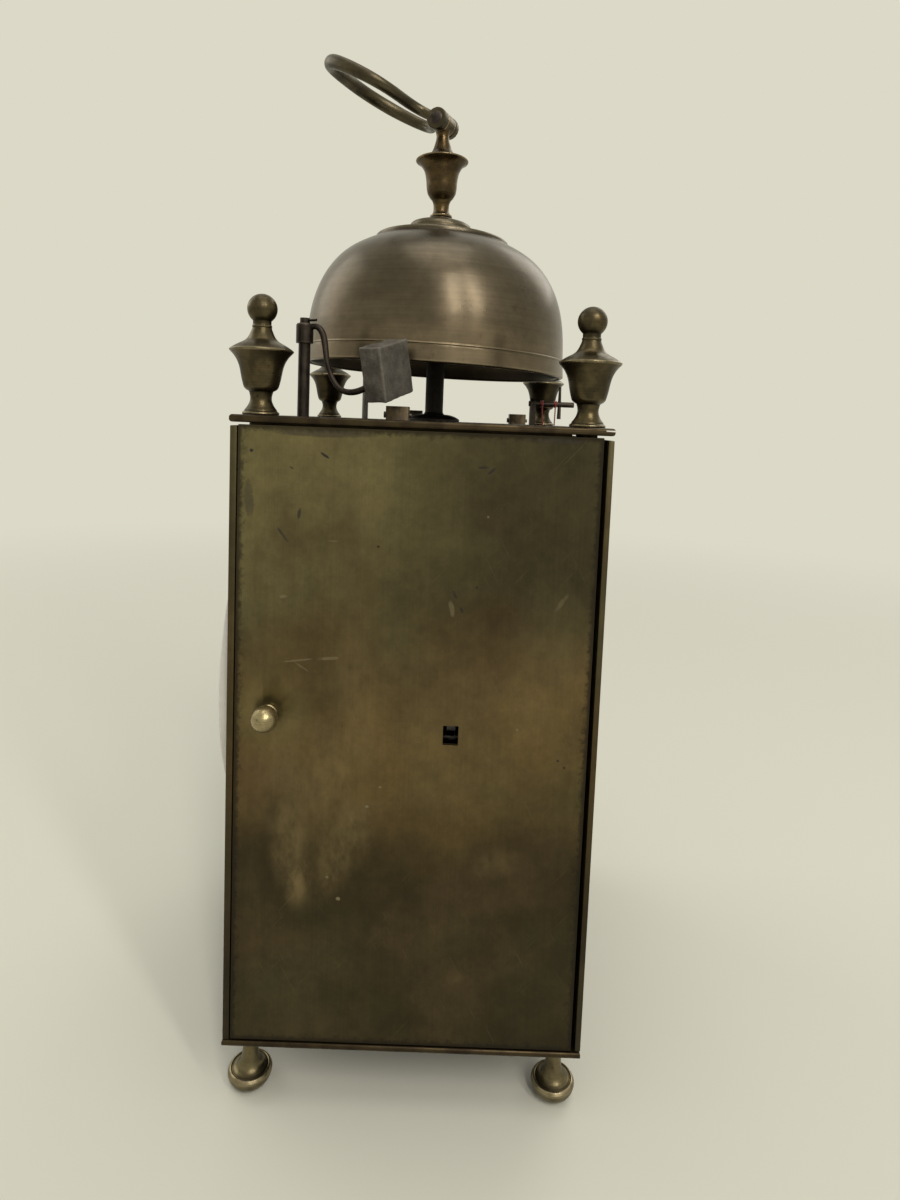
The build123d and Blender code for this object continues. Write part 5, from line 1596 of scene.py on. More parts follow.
@dataclass
class Dial:
    """A domed enamel dial with Roman hours, its hands and the alarm disc.

    The rim is `rim_t` thick where it bends back, `rim_gap` short of its ring. `sunk` and `ink` are how far
    the paint goes into the enamel and stands above it.
    """

    shop: Workshop
    rise: float = 5.0
    thick: float = 1.6
    rim_t: float = 0.75
    rim_gap: float = 0.4
    figures_from: float = 37.0
    figures_high: float = 10.5
    figures_wide: float = 13.8
    thick_pen: float = 1.55
    thin_pen: float = 0.5
    bar_pen: float = 0.34
    minute_pen: float = 0.26
    track: Point = (50.6, 53.2)
    track_half: float = 0.14
    dot_r: float = 0.55
    dot_out: float = 1.7
    sunk: float = 0.15
    ink: float = 0.05
    hole_r: float = 5.0
    wind_r: float = 3.6
    lip: Point = (0.25, 0.32, 0.28)
    hand_t: float = 0.8
    pipe_r: float = 3.45
    cannon_r: float = 2.4
    alarm_figures: Point = (9.2, 3.0)
    alarm_rings: Point = (1.0, 7.2)

    def __post_init__(self) -> None:
        """Works out the dial's place and dome from the frame."""
        low, high = node_box("dial")
        self.centre_z = float((low[2] + high[2]) / 2)
        self.radius = float((high[0] - low[0]) / 2)
        self.rim_y = float(high[1] - self.thick)
        self.ball = (self.radius**2 + self.rise**2) / (2 * self.rise)
        squares = [node_box(n) for n in ("going_winding_arbor", "strike_winding_arbor")]
        self.arbors = [(float((a[0] + b[0]) / 2), float((a[2] + b[2]) / 2)) for a, b in squares]
        self.arbors.append((0.0, self._alarm_z()))

    @staticmethod
    def _alarm_z() -> float:
        """The height of the alarm arbor, at the middle of its great wheel."""
        low, high = node_box("alarm_great_wheel")
        return float((low[2] + high[2]) / 2)

    def dome(self, x: Array, z: Array, above: Array | float) -> Array:
        """Y of a place a little above the dome: its ball, centred behind the dial, less the height."""
        ball_y = self.rim_y - self.rise + self.ball
        return ball_y - np.sqrt((self.ball + above) ** 2 - x**2 - (z - self.centre_z) ** 2)

    def build(self) -> None:
        """Builds the dial, its painting, ring, hands and alarm disc."""
        self._plate()
        self._painting()
        edge = Turned(
            "ring_brass", (0.30, 0.24, 0.12), (0.19, 0.145, 0.07), (0.42, 0.35, 0.2),
            at=(0, 0, self.centre_z), seed=8.0,
        )
        self.shop.dress(("dial_ring",), edge.material())
        self._hands()
        self._alarm_disc()

    def _plate(self) -> None:
        """The domed plate, its rim bent back over the ring, turned and then drilled."""
        flat = self.rise - self.ball
        half = self.radius / 2
        inner, front = self.radius - self.rim_t, flat + math.sqrt(self.ball**2 - half**2)
        back = self.rim_y - node_box("dial_ring")[1][1] + self.rim_gap
        outline = Outline((0, self.rise - self.thick), (
            (ARC, ((half, front - self.thick), (inner, -self.thick))),
            (LINE, ((inner, back), (self.radius, back), (self.radius, 0.0))),
            (ARC, ((half, front), (0, self.rise))),
        ), soften=0.5, gap=1.2)
        plate = Solid().lathe(outline, facing(0, self.centre_z, self.rim_y), 160).make("enamel_dial")
        drill = Solid()
        holes = [(0.0, self.centre_z, self.hole_r)] + [(x, z, self.wind_r) for x, z in self.arbors]
        for x, z, r in holes:
            bit = np.array([[x, self.rim_y - 12.0, z], [x, self.rim_y + 4.0, z]])
            drill.tube(bit, r, r, (0, 0, 1), np.eye(4), 48)
        cutter = drill.make("drill")
        cut = plate.modifiers.new("drilled", "BOOLEAN")
        cut.operation, cut.object, cut.solver = "DIFFERENCE", cutter, "EXACT"
        baked(plate)
        bpy.data.objects.remove(cutter)
        smooth(plate, DRILLED_CREASE)
        dirty = tuple((x, z, r * 2.2) for x, z, r in holes)
        finish = Enamel("white_enamel", (0, self.rim_y, self.centre_z), self.radius, dirty).material()
        self.shop.hand_over(plate, finish, "dial")
        self._lips(holes, finish)

    def _lips(self, holes: Sequence[Point], finish: bpy.types.Material) -> None:
        """A lip of enamel round each hole: an oval section carried round the hole's edge on the dome.

        Args:
            holes: each as (x, z, radius).
            finish: the dial's enamel.
        """
        lips = Solid()
        wider, across, high = self.lip
        angle = around(72)
        out = np.column_stack([np.cos(angle), np.zeros_like(angle), np.sin(angle)])
        bend = around(12)[None, :, None]
        for x, z, r in holes:
            ring = np.array([x, 0.0, z]) + (r + wider) * out
            ring[:, 1] = self.dome(ring[:, 0], ring[:, 2], 0.0)
            section = across * np.cos(bend) * out[:, None] + high * np.sin(bend) * np.array([0, -1.0, 0])
            lips.add_grid(ring[:, None] + section, None, ring=True)
        self.shop.hand_over(lips.make("enamel_lips"), finish, "dial", replaces=False)

    def _stroke(self, solid: Solid, hour_turn: float, a: Point, b: Point, wide: float) -> None:
        """One pen stroke from a to b, given as (across, out from the centre), laid on the dome.

        Its section is a flat bar: two corners in the enamel and two above it, carried along the stroke.

        Args:
            solid: what it is added to.
            hour_turn: where the hour stands, in degrees from the right.
            a: its start.
            b: its end.
            wide: how wide it is.
        """
        along = np.linspace(0, 1, 9)[:, None]
        middle = np.array(a) * (1 - along) + np.array(b) * along
        level = abs(b[1] - a[1]) < 0.3 * abs(b[0] - a[0])
        across = np.array([0.0, 1.0]) if level else np.array([1.0, 0.0])
        flat = middle[:, None] + np.array([-0.5, -0.5, 0.5, 0.5])[None, :, None] * wide * across
        lift = self._lift()
        c, s = math.cos(math.radians(hour_turn)), math.sin(math.radians(hour_turn))
        x = flat[..., 0] * s + flat[..., 1] * c
        z = self.centre_z - flat[..., 0] * c + flat[..., 1] * s
        grid = np.stack([x, self.dome(x, z, lift), z], axis=-1)
        solid.add_grid(grid, (grid[0].mean(0), grid[-1].mean(0)))

    def _lift(self) -> Array:
        """How far the four corners of a painted line's section lie above the dome."""
        return np.array([-self.sunk, self.ink, self.ink, -self.sunk])

    def _numeral(self, solid: Solid, text: str, hour_turn: float) -> None:
        """An hour in Roman figures, drawn from thick and thin strokes between two thin bars.

        Args:
            solid: what it is added to.
            text: its letters.
            hour_turn: where it stands, in degrees from the right.
        """
        thick, thin = self.thick_pen, self.thin_pen
        foot, head = self.figures_from, self.figures_from + self.figures_high
        widths = {"I": 2.55, "V": 5.6, "X": 5.8}
        scale = min(1.0, self.figures_wide / sum(widths[c] for c in text))
        left = -scale * sum(widths[c] for c in text) / 2
        for letter in text:
            w = widths[letter] * scale
            mid, reach = left + w / 2, w / 2 - 0.75 * scale
            if letter == "I":
                self._stroke(solid, hour_turn, (mid, foot), (mid, head), thick * scale)
            elif letter == "V":
                self._stroke(solid, hour_turn, (mid - reach, head), (mid, foot), thick * scale)
                self._stroke(solid, hour_turn, (mid + reach, head), (mid, foot), thin)
            else:
                self._stroke(solid, hour_turn, (mid - reach, head), (mid + reach, foot), thick * scale)
                self._stroke(solid, hour_turn, (mid + reach, head), (mid - reach, foot), thin)
            for at, spread in ((head, 1.0), (foot, 0.45 if letter == "V" else 1.0)):
                bar = w * 0.46 * spread
                self._stroke(solid, hour_turn, (mid - bar, at), (mid + bar, at), self.bar_pen)
            left += w

    def _painting(self) -> None:
        """Hours, a minute track of two fine circles, sixty minute bars and a dot at each fifth minute."""
        solid = Solid()
        for k, text in enumerate("XII I II III IIII V VI VII VIII IX X XI".split()):
            self._numeral(solid, text, 90.0 - 30.0 * k)
        angle = around(240)
        for r in self.track:
            radii = r + self.track_half * np.array([-1, -1, 1, 1])
            x = radii * np.cos(angle)[:, None]
            z = self.centre_z + radii * np.sin(angle)[:, None]
            solid.add_grid(np.stack([x, self.dome(x, z, self._lift()), z], axis=-1), None, ring=True)
        for minute in range(60):
            self._stroke(solid, 90.0 - 6.0 * minute, (0, self.track[0]), (0, self.track[1]), self.minute_pen)
        for k in range(12):
            spin = math.radians(90.0 - 30.0 * k)
            middle = (self.track[1] + self.dot_out) * np.array([math.cos(spin), math.sin(spin)])
            dot = circle(self.dot_r, 20)
            x, z = middle[0] + dot[:, 0], self.centre_z + middle[1] + dot[:, 1]
            grid = np.stack([np.column_stack([x, self.dome(x, z, h), z]) for h in (-self.sunk, self.ink)])
            solid.add_grid(grid, (grid[0].mean(0), grid[1].mean(0)))
        self.shop.hand_over(solid.make("painted_hours"), Ink().material(), "dial", replaces=False)

    @staticmethod
    def _hand_outline(
        length: float, boss: float, root: float, tip: float, tail: float, oval: Point
    ) -> list[Array]:
        """A slim hand that points along +Y: boss, waisted blade, pierced oval and leaf-shaped point.

        The half width along the hand is the largest of the boss, the tapering blade and the oval.

        Args:
            length: from its axis to its point.
            boss: the boss's radius.
            root: the blade's width at the boss.
            tip: the width from which its point tapers.
            tail: how far it goes beyond its axis.
            oval: the oval's half width, half length and middle.

        Returns:
            The outline and the hole of the oval.
        """
        wide, high, middle = oval
        y = np.concatenate([np.linspace(-tail, boss, 70), np.linspace(boss, length, 260)[1:]])
        places = (-tail, 0, boss, length * 0.45, length * 0.66, length * 0.74, length)
        widths = (root * 0.62, root * 0.5, root / 2, tip * 0.36, tip * 0.36, tip * 0.75, 0.04)
        disc = np.sqrt(np.maximum(boss**2 - y**2, 0))
        ring = wide * np.sqrt(np.maximum(1 - ((y - middle) / high) ** 2, 0))
        half = np.maximum(np.maximum(np.interp(y, places, widths), disc), ring)
        outer = np.vstack([np.column_stack([half, y]), np.column_stack([-half, y])[::-1]])
        hole_r = wide * 0.62
        return [outer, circle(hole_r, 40, (0, middle + high * 0.06), high * 0.66 / hole_r)]

    def _hands(self) -> None:
        """Blued steel hands, thin and rounded on their faces, on their pipes."""
        blued = Iron(
            "blued_steel", body=(0.010, 0.013, 0.030), pale=(0.022, 0.026, 0.050), rust=0.10, roughness=0.24,
            grain=(3.0, 3.0, 0.25), metallic=0.95, seed=3.0,
        ).material()
        hour = self._hand_outline(length=30.0, boss=4.6, root=1.7, tip=2.2, tail=4.6, oval=(2.45, 2.6, 16.5))
        minute = self._hand_outline(length=46.0, boss=3.6, root=1.5, tip=1.9, tail=9.0, oval=(2.3, 3.9, 25.3))
        for node, rings, bore, sides, spin in (
            ("hour_hand", hour, self.pipe_r, 40, 60),
            ("minute_hand", minute, self.cannon_r, 36, 0),
        ):
            back = float(node_box(node)[1][1]) - self.hand_t / 2
            place = facing(0, self.centre_z, back) @ turn("Z", spin)
            hand = Solid().cut_out([*rings, circle(bore, sides)], self.hand_t, 0.2, place)
            self.shop.hand_over(hand.make(f"{node}_blued"), blued, node)

    def _alarm_disc(self) -> None:
        """The brass alarm disc, engraved round its edge with the hours between two fine rings."""
        low, high = node_box("alarm_disc")
        radius, thick = float((high[0] - low[0]) / 2), float(high[1] - low[1])
        front, middle = float(low[1]), float((low[1] + high[1]) / 2)
        rings = [circle(radius, 120), circle(self.pipe_r, 40)]
        disc = Solid().cut_out(rings, thick, 0.15, facing(0, self.centre_z, middle))
        finish = WheelBrass("alarm_disc_brass", (0.0, self.centre_z))
        self.shop.hand_over(disc.make("alarm_disc_bevelled"), finish.material(), "alarm_disc")
        out, size = self.alarm_figures
        cuts = Solid()
        for hour in range(1, 13):
            text = bpy.data.curves.new("figure", "FONT")
            text.body, text.size, text.extrude = str(hour), size, 0.03
            text.align_x, text.align_y = "CENTER", "CENTER"
            cuts.add_curve(text, facing(0, self.centre_z, front) @ turn("Z", -30.0 * hour) @ shift(0, out, 0))
        inset, inner = self.alarm_rings
        angle = around(120)[:, None]
        for r in (radius - inset, inner):
            radii = r + np.array([-0.09, -0.09, 0.09, 0.09])
            y = np.broadcast_to(front + np.array([0.1, -0.03, -0.03, 0.1]), (120, 4))
            grid = np.stack([radii * np.cos(angle), y, self.centre_z + radii * np.sin(angle)], axis=-1)
            cuts.add_grid(grid, None, ring=True)
        ink = bpy.data.materials["dial_ink"]
        self.shop.hand_over(cuts.make("alarm_figures"), ink, "alarm_disc", replaces=False)


# ---- bell and handle


@dataclass
class Bell:
    """The bell on its iron stand, with washer, urn finial, rivet and carrying handle.

    The bell's axis leans by `lean` and `tip` about X and Y and the finial's by `finial_lean`. The handle is
    turned by `yaw` and stands `handle_rise` above level. Angles are in degrees.
    """

    shop: Workshop
    stand_y: float = 1.0
    stand_r: float = 3.35
    seat_z: float = 279.7
    lean: float = 1.63
    tip: float = 0.25
    bell_off: float = 0.87
    bell_t: float = 2.4
    washer_h: float = 5.0
    finial_y: float = 1.05
    finial_lean: float = 0.8
    pivot_up: float = 33.65
    yaw: float = 23.5
    handle_rise: float = 28.3
    spigot_r: float = 1.6
    bell_high: float = 48.6
    knuckle: Point = (3.7, 6.2)
    eye_t: float = 2.6
    eye_r: float = 3.8
    eye_gap: float = 0.3
    pin_r: float = 1.4
    pin_head: float = 2.4
    rod: Point = (1.65, 1.80)
    rod_growth: Point = (0.45, 0.72)
    voxel: float = 0.26

    def __post_init__(self) -> None:
        """Works out the frames of the bell, the finial and the handle's pivot."""
        self.leaning = shift(0, self.stand_y, self.seat_z) @ turn("X", -self.lean) @ turn("Y", self.tip)
        self.bell_at = self.leaning @ shift(0, self.bell_off, 0)
        foot = self.seat_z + self.bell_t + self.washer_h
        self.upright = shift(0, self.finial_y, foot) @ turn("X", self.finial_lean)
        self.pivot = self.upright @ shift(0, 0, self.pivot_up) @ turn("Z", -self.yaw)

    def build(self) -> None:
        """Builds everything above the top plate's middle."""
        self._stand()
        self._bell()
        self._washer()
        self._finial()
        self._rivet()
        self._handle()

    def _stand(self) -> None:
        """The forged column with its foot flange, its riveted end and the tapered seat of the bell."""
        top = float(node_box("top_plate")[1][2])
        dark, pale = (0.017, 0.014, 0.012), (0.032, 0.027, 0.023)
        iron = Iron("stand_iron", dark, pale, rust=0.18, roughness=0.5, seed=1.0)
        r, high, spigot = self.stand_r, self.seat_z - top - 4.5, self.spigot_r
        foot = Outline((0, -3.4), (
            (LINE, ((r, -3.4), (r, 0.0), (9.6, 0.0), (9.6, 0.9))),
            (ARC, ((7.0, 2.2), (r + 0.5, 2.6))),
            (LINE, ((r, 3.4), (r, high), (0, high))),
        ), soften=0.3, gap=0.8)
        seat = Outline((0, -6), (
            (LINE, ((r, -6), (r, -4), (5.4, -2.0), (5.4, 0), (spigot, 0), (spigot, 5.0), (0, 5.0))),
        ))
        rivet = Outline((0, -3.4), ((LINE, ((5.0, -3.4), (5.0, -2.25), (0, -2.25))),))
        place = shift(0, self.stand_y, top)
        solid = Solid().lathe(foot, place).lathe(rivet, place).lathe(seat, self.leaning)
        self.shop.hand_over(solid.make("bell_stand_forged"), iron.material(), "bell_stand")

    def _bell(self) -> None:
        """The turned bell: a low coned crown with a step at its edge, and a beaded band above the lip."""
        outline = Outline((2.6, 0), (
            (LINE, ((10.6, 0.0), (22.4, -3.9))),
            (CURVE, ((33.4, -10.3), (41.0, -20.5), (44.2, -31.9), (44.9, -42.9))),
            (LINE, ((45.5, -47.9),)),
            (ARC, ((46.7, -48.5), (47.85, -48.0))),
            (LINE, ((47.4, -43.0), (47.33, -42.75))),
            (ARC, ((47.62, -42.45), (47.3, -42.15))),
            (CURVE, ((46.5, -31.9), (43.1, -19.26), (35.03, -8.26), (24.9, -2.4))),
            (LINE, ((24.5, -2.15), (24.35, -1.15), (23.9, -0.7), (12.5, 2.3), (2.6, 2.4), (2.6, 0.0))),
        ), soften=0.16, gap=0.5)
        seat = (0, self.stand_y + self.bell_off, self.seat_z)
        finish = BellMetal("bell_metal_aged", seat, (-self.lean, self.tip, 0.0), self.bell_high)
        bell = Solid().lathe(outline, self.bell_at, 192).make("turned_bell")
        self.shop.hand_over(bell, finish.material(), "bell")

    def _washer(self) -> None:
        """The domed washer under the finial."""
        base, top = self.bell_t, self.bell_t + self.washer_h
        outline = Outline((2.0, base), (
            (LINE, ((11.6, base), (11.55, base + 1.3))),
            (CURVE, ((10.9, base + 2.3), (8.9, base + 3.2), (6.0, base + 4.2), (4.4, top - 0.2))),
            (LINE, ((3.9, top), (2.0, top), (2.0, base))),
        ), soften=0.2, gap=0.4)
        finish = Turned(
            "washer_metal", (0.100, 0.084, 0.056), (0.072, 0.060, 0.040), (0.17, 0.14, 0.09),
            at=(0, self.stand_y, self.seat_z), seed=11.0,
        )
        washer = Solid().lathe(outline, self.leaning, 96).make("turned_washer")
        self.shop.hand_over(washer, finish.material(), "bell_washer")

    def _finial(self) -> None:
        """The urn on the bell, whose neck ends in the knuckle of the handle."""
        neck_end = self.pivot_up - 1.0
        outline = Outline((0, 0.2), (
            (LINE, ((4.0, 0.2), (4.05, 0.9))),
            (CURVE, ((3.4, 1.35), (2.98, 2.1), (2.82, 3.7), (2.95, 5.1), (3.45, 6.35))),
            (LINE, ((3.75, 6.7),)),
            (ARC, ((4.6, 7.8), (5.2, 8.9))),
            (CURVE, (
                (5.5, 10.6), (5.62, 12.4), (5.9, 14.6), (6.45, 16.7), (7.3, 18.2), (8.5, 19.4), (9.55, 20.05),
            )),
            (LINE, ((9.62, 20.3), (9.35, 20.6))),
            (CURVE, (
                (7.6, 21.2), (5.7, 21.9), (4.5, 22.8), (3.75, 23.7), (3.1, 25.3), (2.5, 27.4), (2.3, 29.0),
                (2.65, 30.8),
            )),
            (LINE, ((2.9, neck_end), (0, neck_end))),
        ))
        radius, half = self.knuckle[0], self.knuckle[1] / 2
        barrel = Outline((0, -half), ((LINE, ((radius, -half), (radius, half), (0, half))),), soften=0.35)
        solid = Solid().lathe(outline, self.upright, 84).lathe(barrel, self.pivot @ turn("Y", 90), 56)
        finish = Turned(
            "bell_finial_brass", (0.088, 0.059, 0.026), (0.052, 0.036, 0.018), (0.24, 0.185, 0.105),
            roughness=0.27, spots=0.35, at=(0, self.stand_y, self.seat_z), seed=12.0,
        )
        self.shop.hand_over(solid.make("turned_bell_finial"), finish.material(), "bell_finial")

    def _rivet(self) -> None:
        """The rivet through the eyes and the knuckle, with a low domed head at each end."""
        half = self.knuckle[1] / 2 + self.eye_gap + self.eye_t
        pin, head = self.pin_r, self.pin_head
        outline = Outline((0, -half - 0.8), (
            (ARC, ((1.3, -half - 0.58), (head, -half))),
            (LINE, ((pin, -half), (pin, half), (head, half))),
            (ARC, ((1.3, half + 0.58), (0, half + 0.8))),
        ), gap=0.3)
        finish = Iron("rivet_iron", (0.034, 0.026, 0.024), (0.056, 0.044, 0.038), seed=5.0, worn=0.2)
        rivet = Solid().lathe(outline, self.pivot @ turn("Y", 90), 40).make("riveted_pin")
        self.shop.hand_over(rivet, finish.material(), "handle_pin")

    def _handle(self) -> None:
        """The forged loop: an oval rod, fuller at its far end, fused with two flat eyes and smoothed."""
        eye_x, t = self.knuckle[1] / 2 + self.eye_gap + self.eye_t / 2, self.eye_t / 2
        half = [
            (eye_x, 2.2), (eye_x + 0.6, 6.9), (8.4, 10.2), (15.4, 13.1), (21.9, 18.4), (23.9, 26.5),
            (21.5, 36.9), (13.6, 44.9), (0, 47.7),
        ]
        knots = np.array([(x, 0.0, z) for x, z in half + [(-x, z) for x, z in reversed(half[:-1])]])
        path = curve_points(knots, 0.45)
        far = np.clip((path[:, 2] - 4.0) / 34.0, 0, 1)
        across, up = (thin + growth * far for thin, growth in zip(self.rod, self.rod_growth))
        matrix = self.pivot @ turn("X", 90 - self.handle_rise)
        solid = Solid().tube(path, across, up, (0, 1, 0), matrix, 28)
        bore, rim = self.pin_r + 0.05, self.eye_r
        around = ((rim, -t), (rim, t), (bore, t), (bore, -t))
        eye = Outline((bore, -t), ((LINE, around),), soften=0.5, gap=0.4)
        for side in (-1, 1):
            solid.lathe(eye, matrix @ shift(side * eye_x, 0, 0) @ turn("Y", 90), 48)
        loop = solid.make("forged_handle")
        fuse = loop.modifiers.new("fused", "REMESH")
        fuse.mode, fuse.voxel_size = "VOXEL", self.voxel * MM
        ease = loop.modifiers.new("eased", "SMOOTH")
        ease.factor, ease.iterations = 0.5, 6
        baked(loop)
        loop.data.polygons.foreach_set("use_smooth", np.ones(len(loop.data.polygons), bool))
        finish = Turned(
            "handle_brass_worn", (0.082, 0.068, 0.041), (0.050, 0.041, 0.026), (0.22, 0.185, 0.115),
            roughness=0.34, ring=2.0, blot=12.0, spots=0.2, seed=14.0,
        )
        self.shop.hand_over(loop, finish.material(), "handle")


# ---- hammer, posts and suspension


@dataclass
class Hammer:
    """The strike hammer on its upright arbor.

    `knots` are the points that its wire goes through, from the collar to the head.
    """

    shop: Workshop
    at: Point = (50.0, -37.7)
    arm_r: float = 0.88
    collar: Point = (235.1, 241.1)
    collar_r: Point = (1.8, 2.6)
    pin_r: float = 0.4
    pin_turn: float = 62.0
    head_size: Point = (7.4, 15.0, 16.2)
    head_at: Point = (57.1, -11.6, 227.4)
    head_yaw: float = 60.5
    head_tilt: float = 16.0
    knots: tuple[Point, ...] = (
        (50.2, -36.3, 239.8), (50.4, -35.3, 240.2), (50.9, -33.6, 240.0), (51.4, -31.3, 235.4),
        (51.8, -30.4, 229.8), (52.2, -27.9, 223.6), (53.5, -25.6, 221.3), (55.3, -22.4, 220.6),
        (57.7, -18.4, 221.6), (58.8, -16.4, 222.6),
    )

    def build(self) -> None:
        """Builds the collar, wire, pin and head, and dresses the arbor."""
        steel = Iron(
            "hammer_wire_steel", (0.026, 0.020, 0.016), (0.046, 0.037, 0.029),
            rust=0.45, roughness=0.42, seed=7.0,
        ).material()
        self.shop.hand_over(self._wire().make("hammer_wire"), steel, "hammer_arm")
        self.shop.dress(("hammer_arbor",), steel)
        place = shift(*self.head_at) @ turn("Z", self.head_yaw) @ turn("X", self.head_tilt)
        head = Solid().block(self.head_size, 0.55, place, rough=0.055, cells=16)
        finish = Iron(
            "hammer_head_steel", (0.056, 0.049, 0.040), (0.110, 0.098, 0.082), rust=0.45, roughness=0.50,
            grain=(0.5, 5.0, 0.5), metallic=0.35, worn=0.22, seed=8.0,
        )
        self.shop.hand_over(head.make("filed_hammer_head", 40), finish.material(), "hammer_head")

    def _wire(self) -> Solid:
        """The collar, the bent wire, hammered a little uneven, and the pin through the collar.

        Returns:
            All three as one solid.
        """
        x, y = self.at
        (low, high), (bore, rim) = self.collar, self.collar_r
        collar = Outline((bore, low), (
            (LINE, ((rim, low), (rim, high - 0.5))),
            (LINE, ((2.2, high), (bore, high), (bore, low))),
        ), soften=0.25, gap=0.6)
        path = curve_points(np.array(self.knots), 0.35)
        flat = self.arm_r * (1 + 0.12 * np.sin(np.linspace(0, 9, len(path))))
        pin = np.array([[-1.3, 0, 0], [4.4, 0, 0]])
        pin_at = shift(x, y, high + 0.9) @ turn("Z", self.pin_turn)
        solid = Solid().lathe(collar, shift(x, y, 0), 40)
        solid.tube(path, flat, self.arm_r, (0.9, 0.2, 0.1), np.eye(4), 16)
        return solid.tube(pin, self.pin_r, self.pin_r, (0, 0, 1), pin_at, 12)


@dataclass
class Suspension:
    """The cock, arbor and twisted silk that carry the pendulum, and the heads of the movement posts."""

    shop: Workshop
    arbor_z: float = 220.8
    coil_r: float = 1.2
    coil_turns: float = 2.6
    hook: Point = (0.0, 45.4, 165.4)
    strands: tuple[float, ...] = (41.4, 46.4)
    twists: int = 34
    ply_r: float = 0.14
    ply_off: float = 0.13

    def build(self) -> None:
        """Builds the silk and dresses the iron round it."""
        iron = Iron("cock_iron", (0.040, 0.032, 0.025), (0.070, 0.058, 0.045), rust=0.4, seed=9.0).material()
        self.shop.dress(("suspension_cock", "suspension_arbor"), iron)
        self._silk()
        posts = self.shop.softened("movement_posts_rounded", "movement_posts", 0.25)
        self._flush_post(posts)
        dark, pale = (0.060, 0.046, 0.030), (0.140, 0.105, 0.060)
        post = Iron("post_iron", dark, pale, rust=0.6, roughness=0.5, seed=10.0)
        self.shop.hand_over(posts, post.material(), "movement_posts")
        pins = Iron("pin_steel", (0.06, 0.05, 0.04), (0.11, 0.095, 0.075), rust=0.5, seed=11.0)
        three = self.shop.softened("three_post_pins", "post_pins", 0.1)
        self._flush_post(three)
        self.shop.hand_over(three, pins.material(), "post_pins")

    @staticmethod
    def _flush_post(piece: bpy.types.Object) -> None:
        """Files the post beside the suspension flush with the top plate and leaves its pin out.

        Args:
            piece: the posts or their pins, from which everything above the plate is cut at that corner.
        """
        top = float(node_box("top_plate")[1][2]) - 0.1
        shape = bmesh.new()
        shape.from_mesh(piece.data)
        points = {v for v in shape.verts if v.co.x > 0 and v.co.y > 0}
        sides = [g for g in (*shape.edges, *shape.faces) if set(g.verts) <= points]
        part = [*(v for v in shape.verts if v in points), *sides]
        cut = bmesh.ops.bisect_plane(
            shape, geom=part, plane_co=(0, 0, top * MM), plane_no=(0, 0, 1), clear_outer=True
        )
        rim = [g for g in cut["geom_cut"] if isinstance(g, bmesh.types.BMEdge)]
        if rim:
            bmesh.ops.holes_fill(shape, edges=rim, sides=0)
        shape.to_mesh(piece.data)
        shape.free()

    def _silk(self) -> None:
        """Each strand is two plies twisted on a helix, from a coil on the arbor to the hook."""
        solid = Solid()
        t = np.linspace(0, 1, 260)[:, None]
        wind = np.linspace(0, 2 * np.pi * self.coil_turns, 120)
        for y in self.strands:
            start, end = np.array([1.15, y, self.arbor_z - 0.6]), np.array(self.hook)
            middle = start * (1 - t) + end * t
            for ply in (0.0, math.pi):
                spin = 2 * np.pi * self.twists * t[:, 0] + ply
                off = self.ply_off * np.column_stack([np.cos(spin), np.sin(spin), np.zeros(260)])
                solid.tube(middle + off, self.ply_r, self.ply_r, (1, 0, 0.05), np.eye(4), 8)
            along = y - 0.5 + 0.45 * wind / (2 * np.pi)
            x, z = self.coil_r * np.cos(wind), self.arbor_z + self.coil_r * np.sin(wind)
            solid.tube(np.column_stack([x, along, z]), 0.17, 0.17, (0, 1, 0.02), np.eye(4), 8)
        self.shop.hand_over(solid.make("twisted_silk"), Silk().material(), "silk_thread")


# ---- movement


@dataclass
class Movement:
    """Finishes for the trains, plates and levers, which keep their CAD shapes."""

    shop: Workshop
    wheels: tuple[str, ...] = (
        "going_barrel", "strike_barrel", "second_wheel", "centre_wheel", "third_wheel", "escape_wheel",
        "pin_wheel", "warning_wheel", "count_wheel", "minute_wheel", "hour_wheel", "alarm_barrel",
        "alarm_great_wheel", "alarm_crown_wheel",
    )
    steels: tuple[str, ...] = (
        "going_winding_arbor", "strike_winding_arbor", "going_click", "strike_click", "anchor",
        "strike_detent", "fly", "alarm_verge", "pendulum", "hammer_cock",
    )

    def build(self) -> None:
        """Gives every wheel rings about its own arbor, and the rest brushed brass or steel."""
        for node in self.wheels:
            low, high = node_box(node)
            centre = (float(low[0] + high[0]) / 2, float(low[2] + high[2]) / 2)
            self.shop.dress((node,), WheelBrass(f"{node}_brass", centre).material())
        corners = (-54.0, 44.8), (54.0, 202.8)
        plate = SheetBrass("movement_plate_brass", Side.ALONG, 0.0, *corners, seed=21.0, fade=0.2)
        self.shop.dress(("front_movement_plate", "back_movement_plate"), plate.material())
        frame_brass = WheelBrass("cock_brass", (0.0, 125.8)).material()
        self.shop.dress(("escapement_potence", "back_cock", "alarm_bridge", "cannon_pinion"), frame_brass)
        dark, pale = (0.15, 0.14, 0.125), (0.26, 0.25, 0.23)
        steel = Iron("filed_steel", dark, pale, rust=0.2, roughness=0.36, seed=15.0)
        self.shop.dress(self.steels, steel.material())


# ---- floor, light and camera


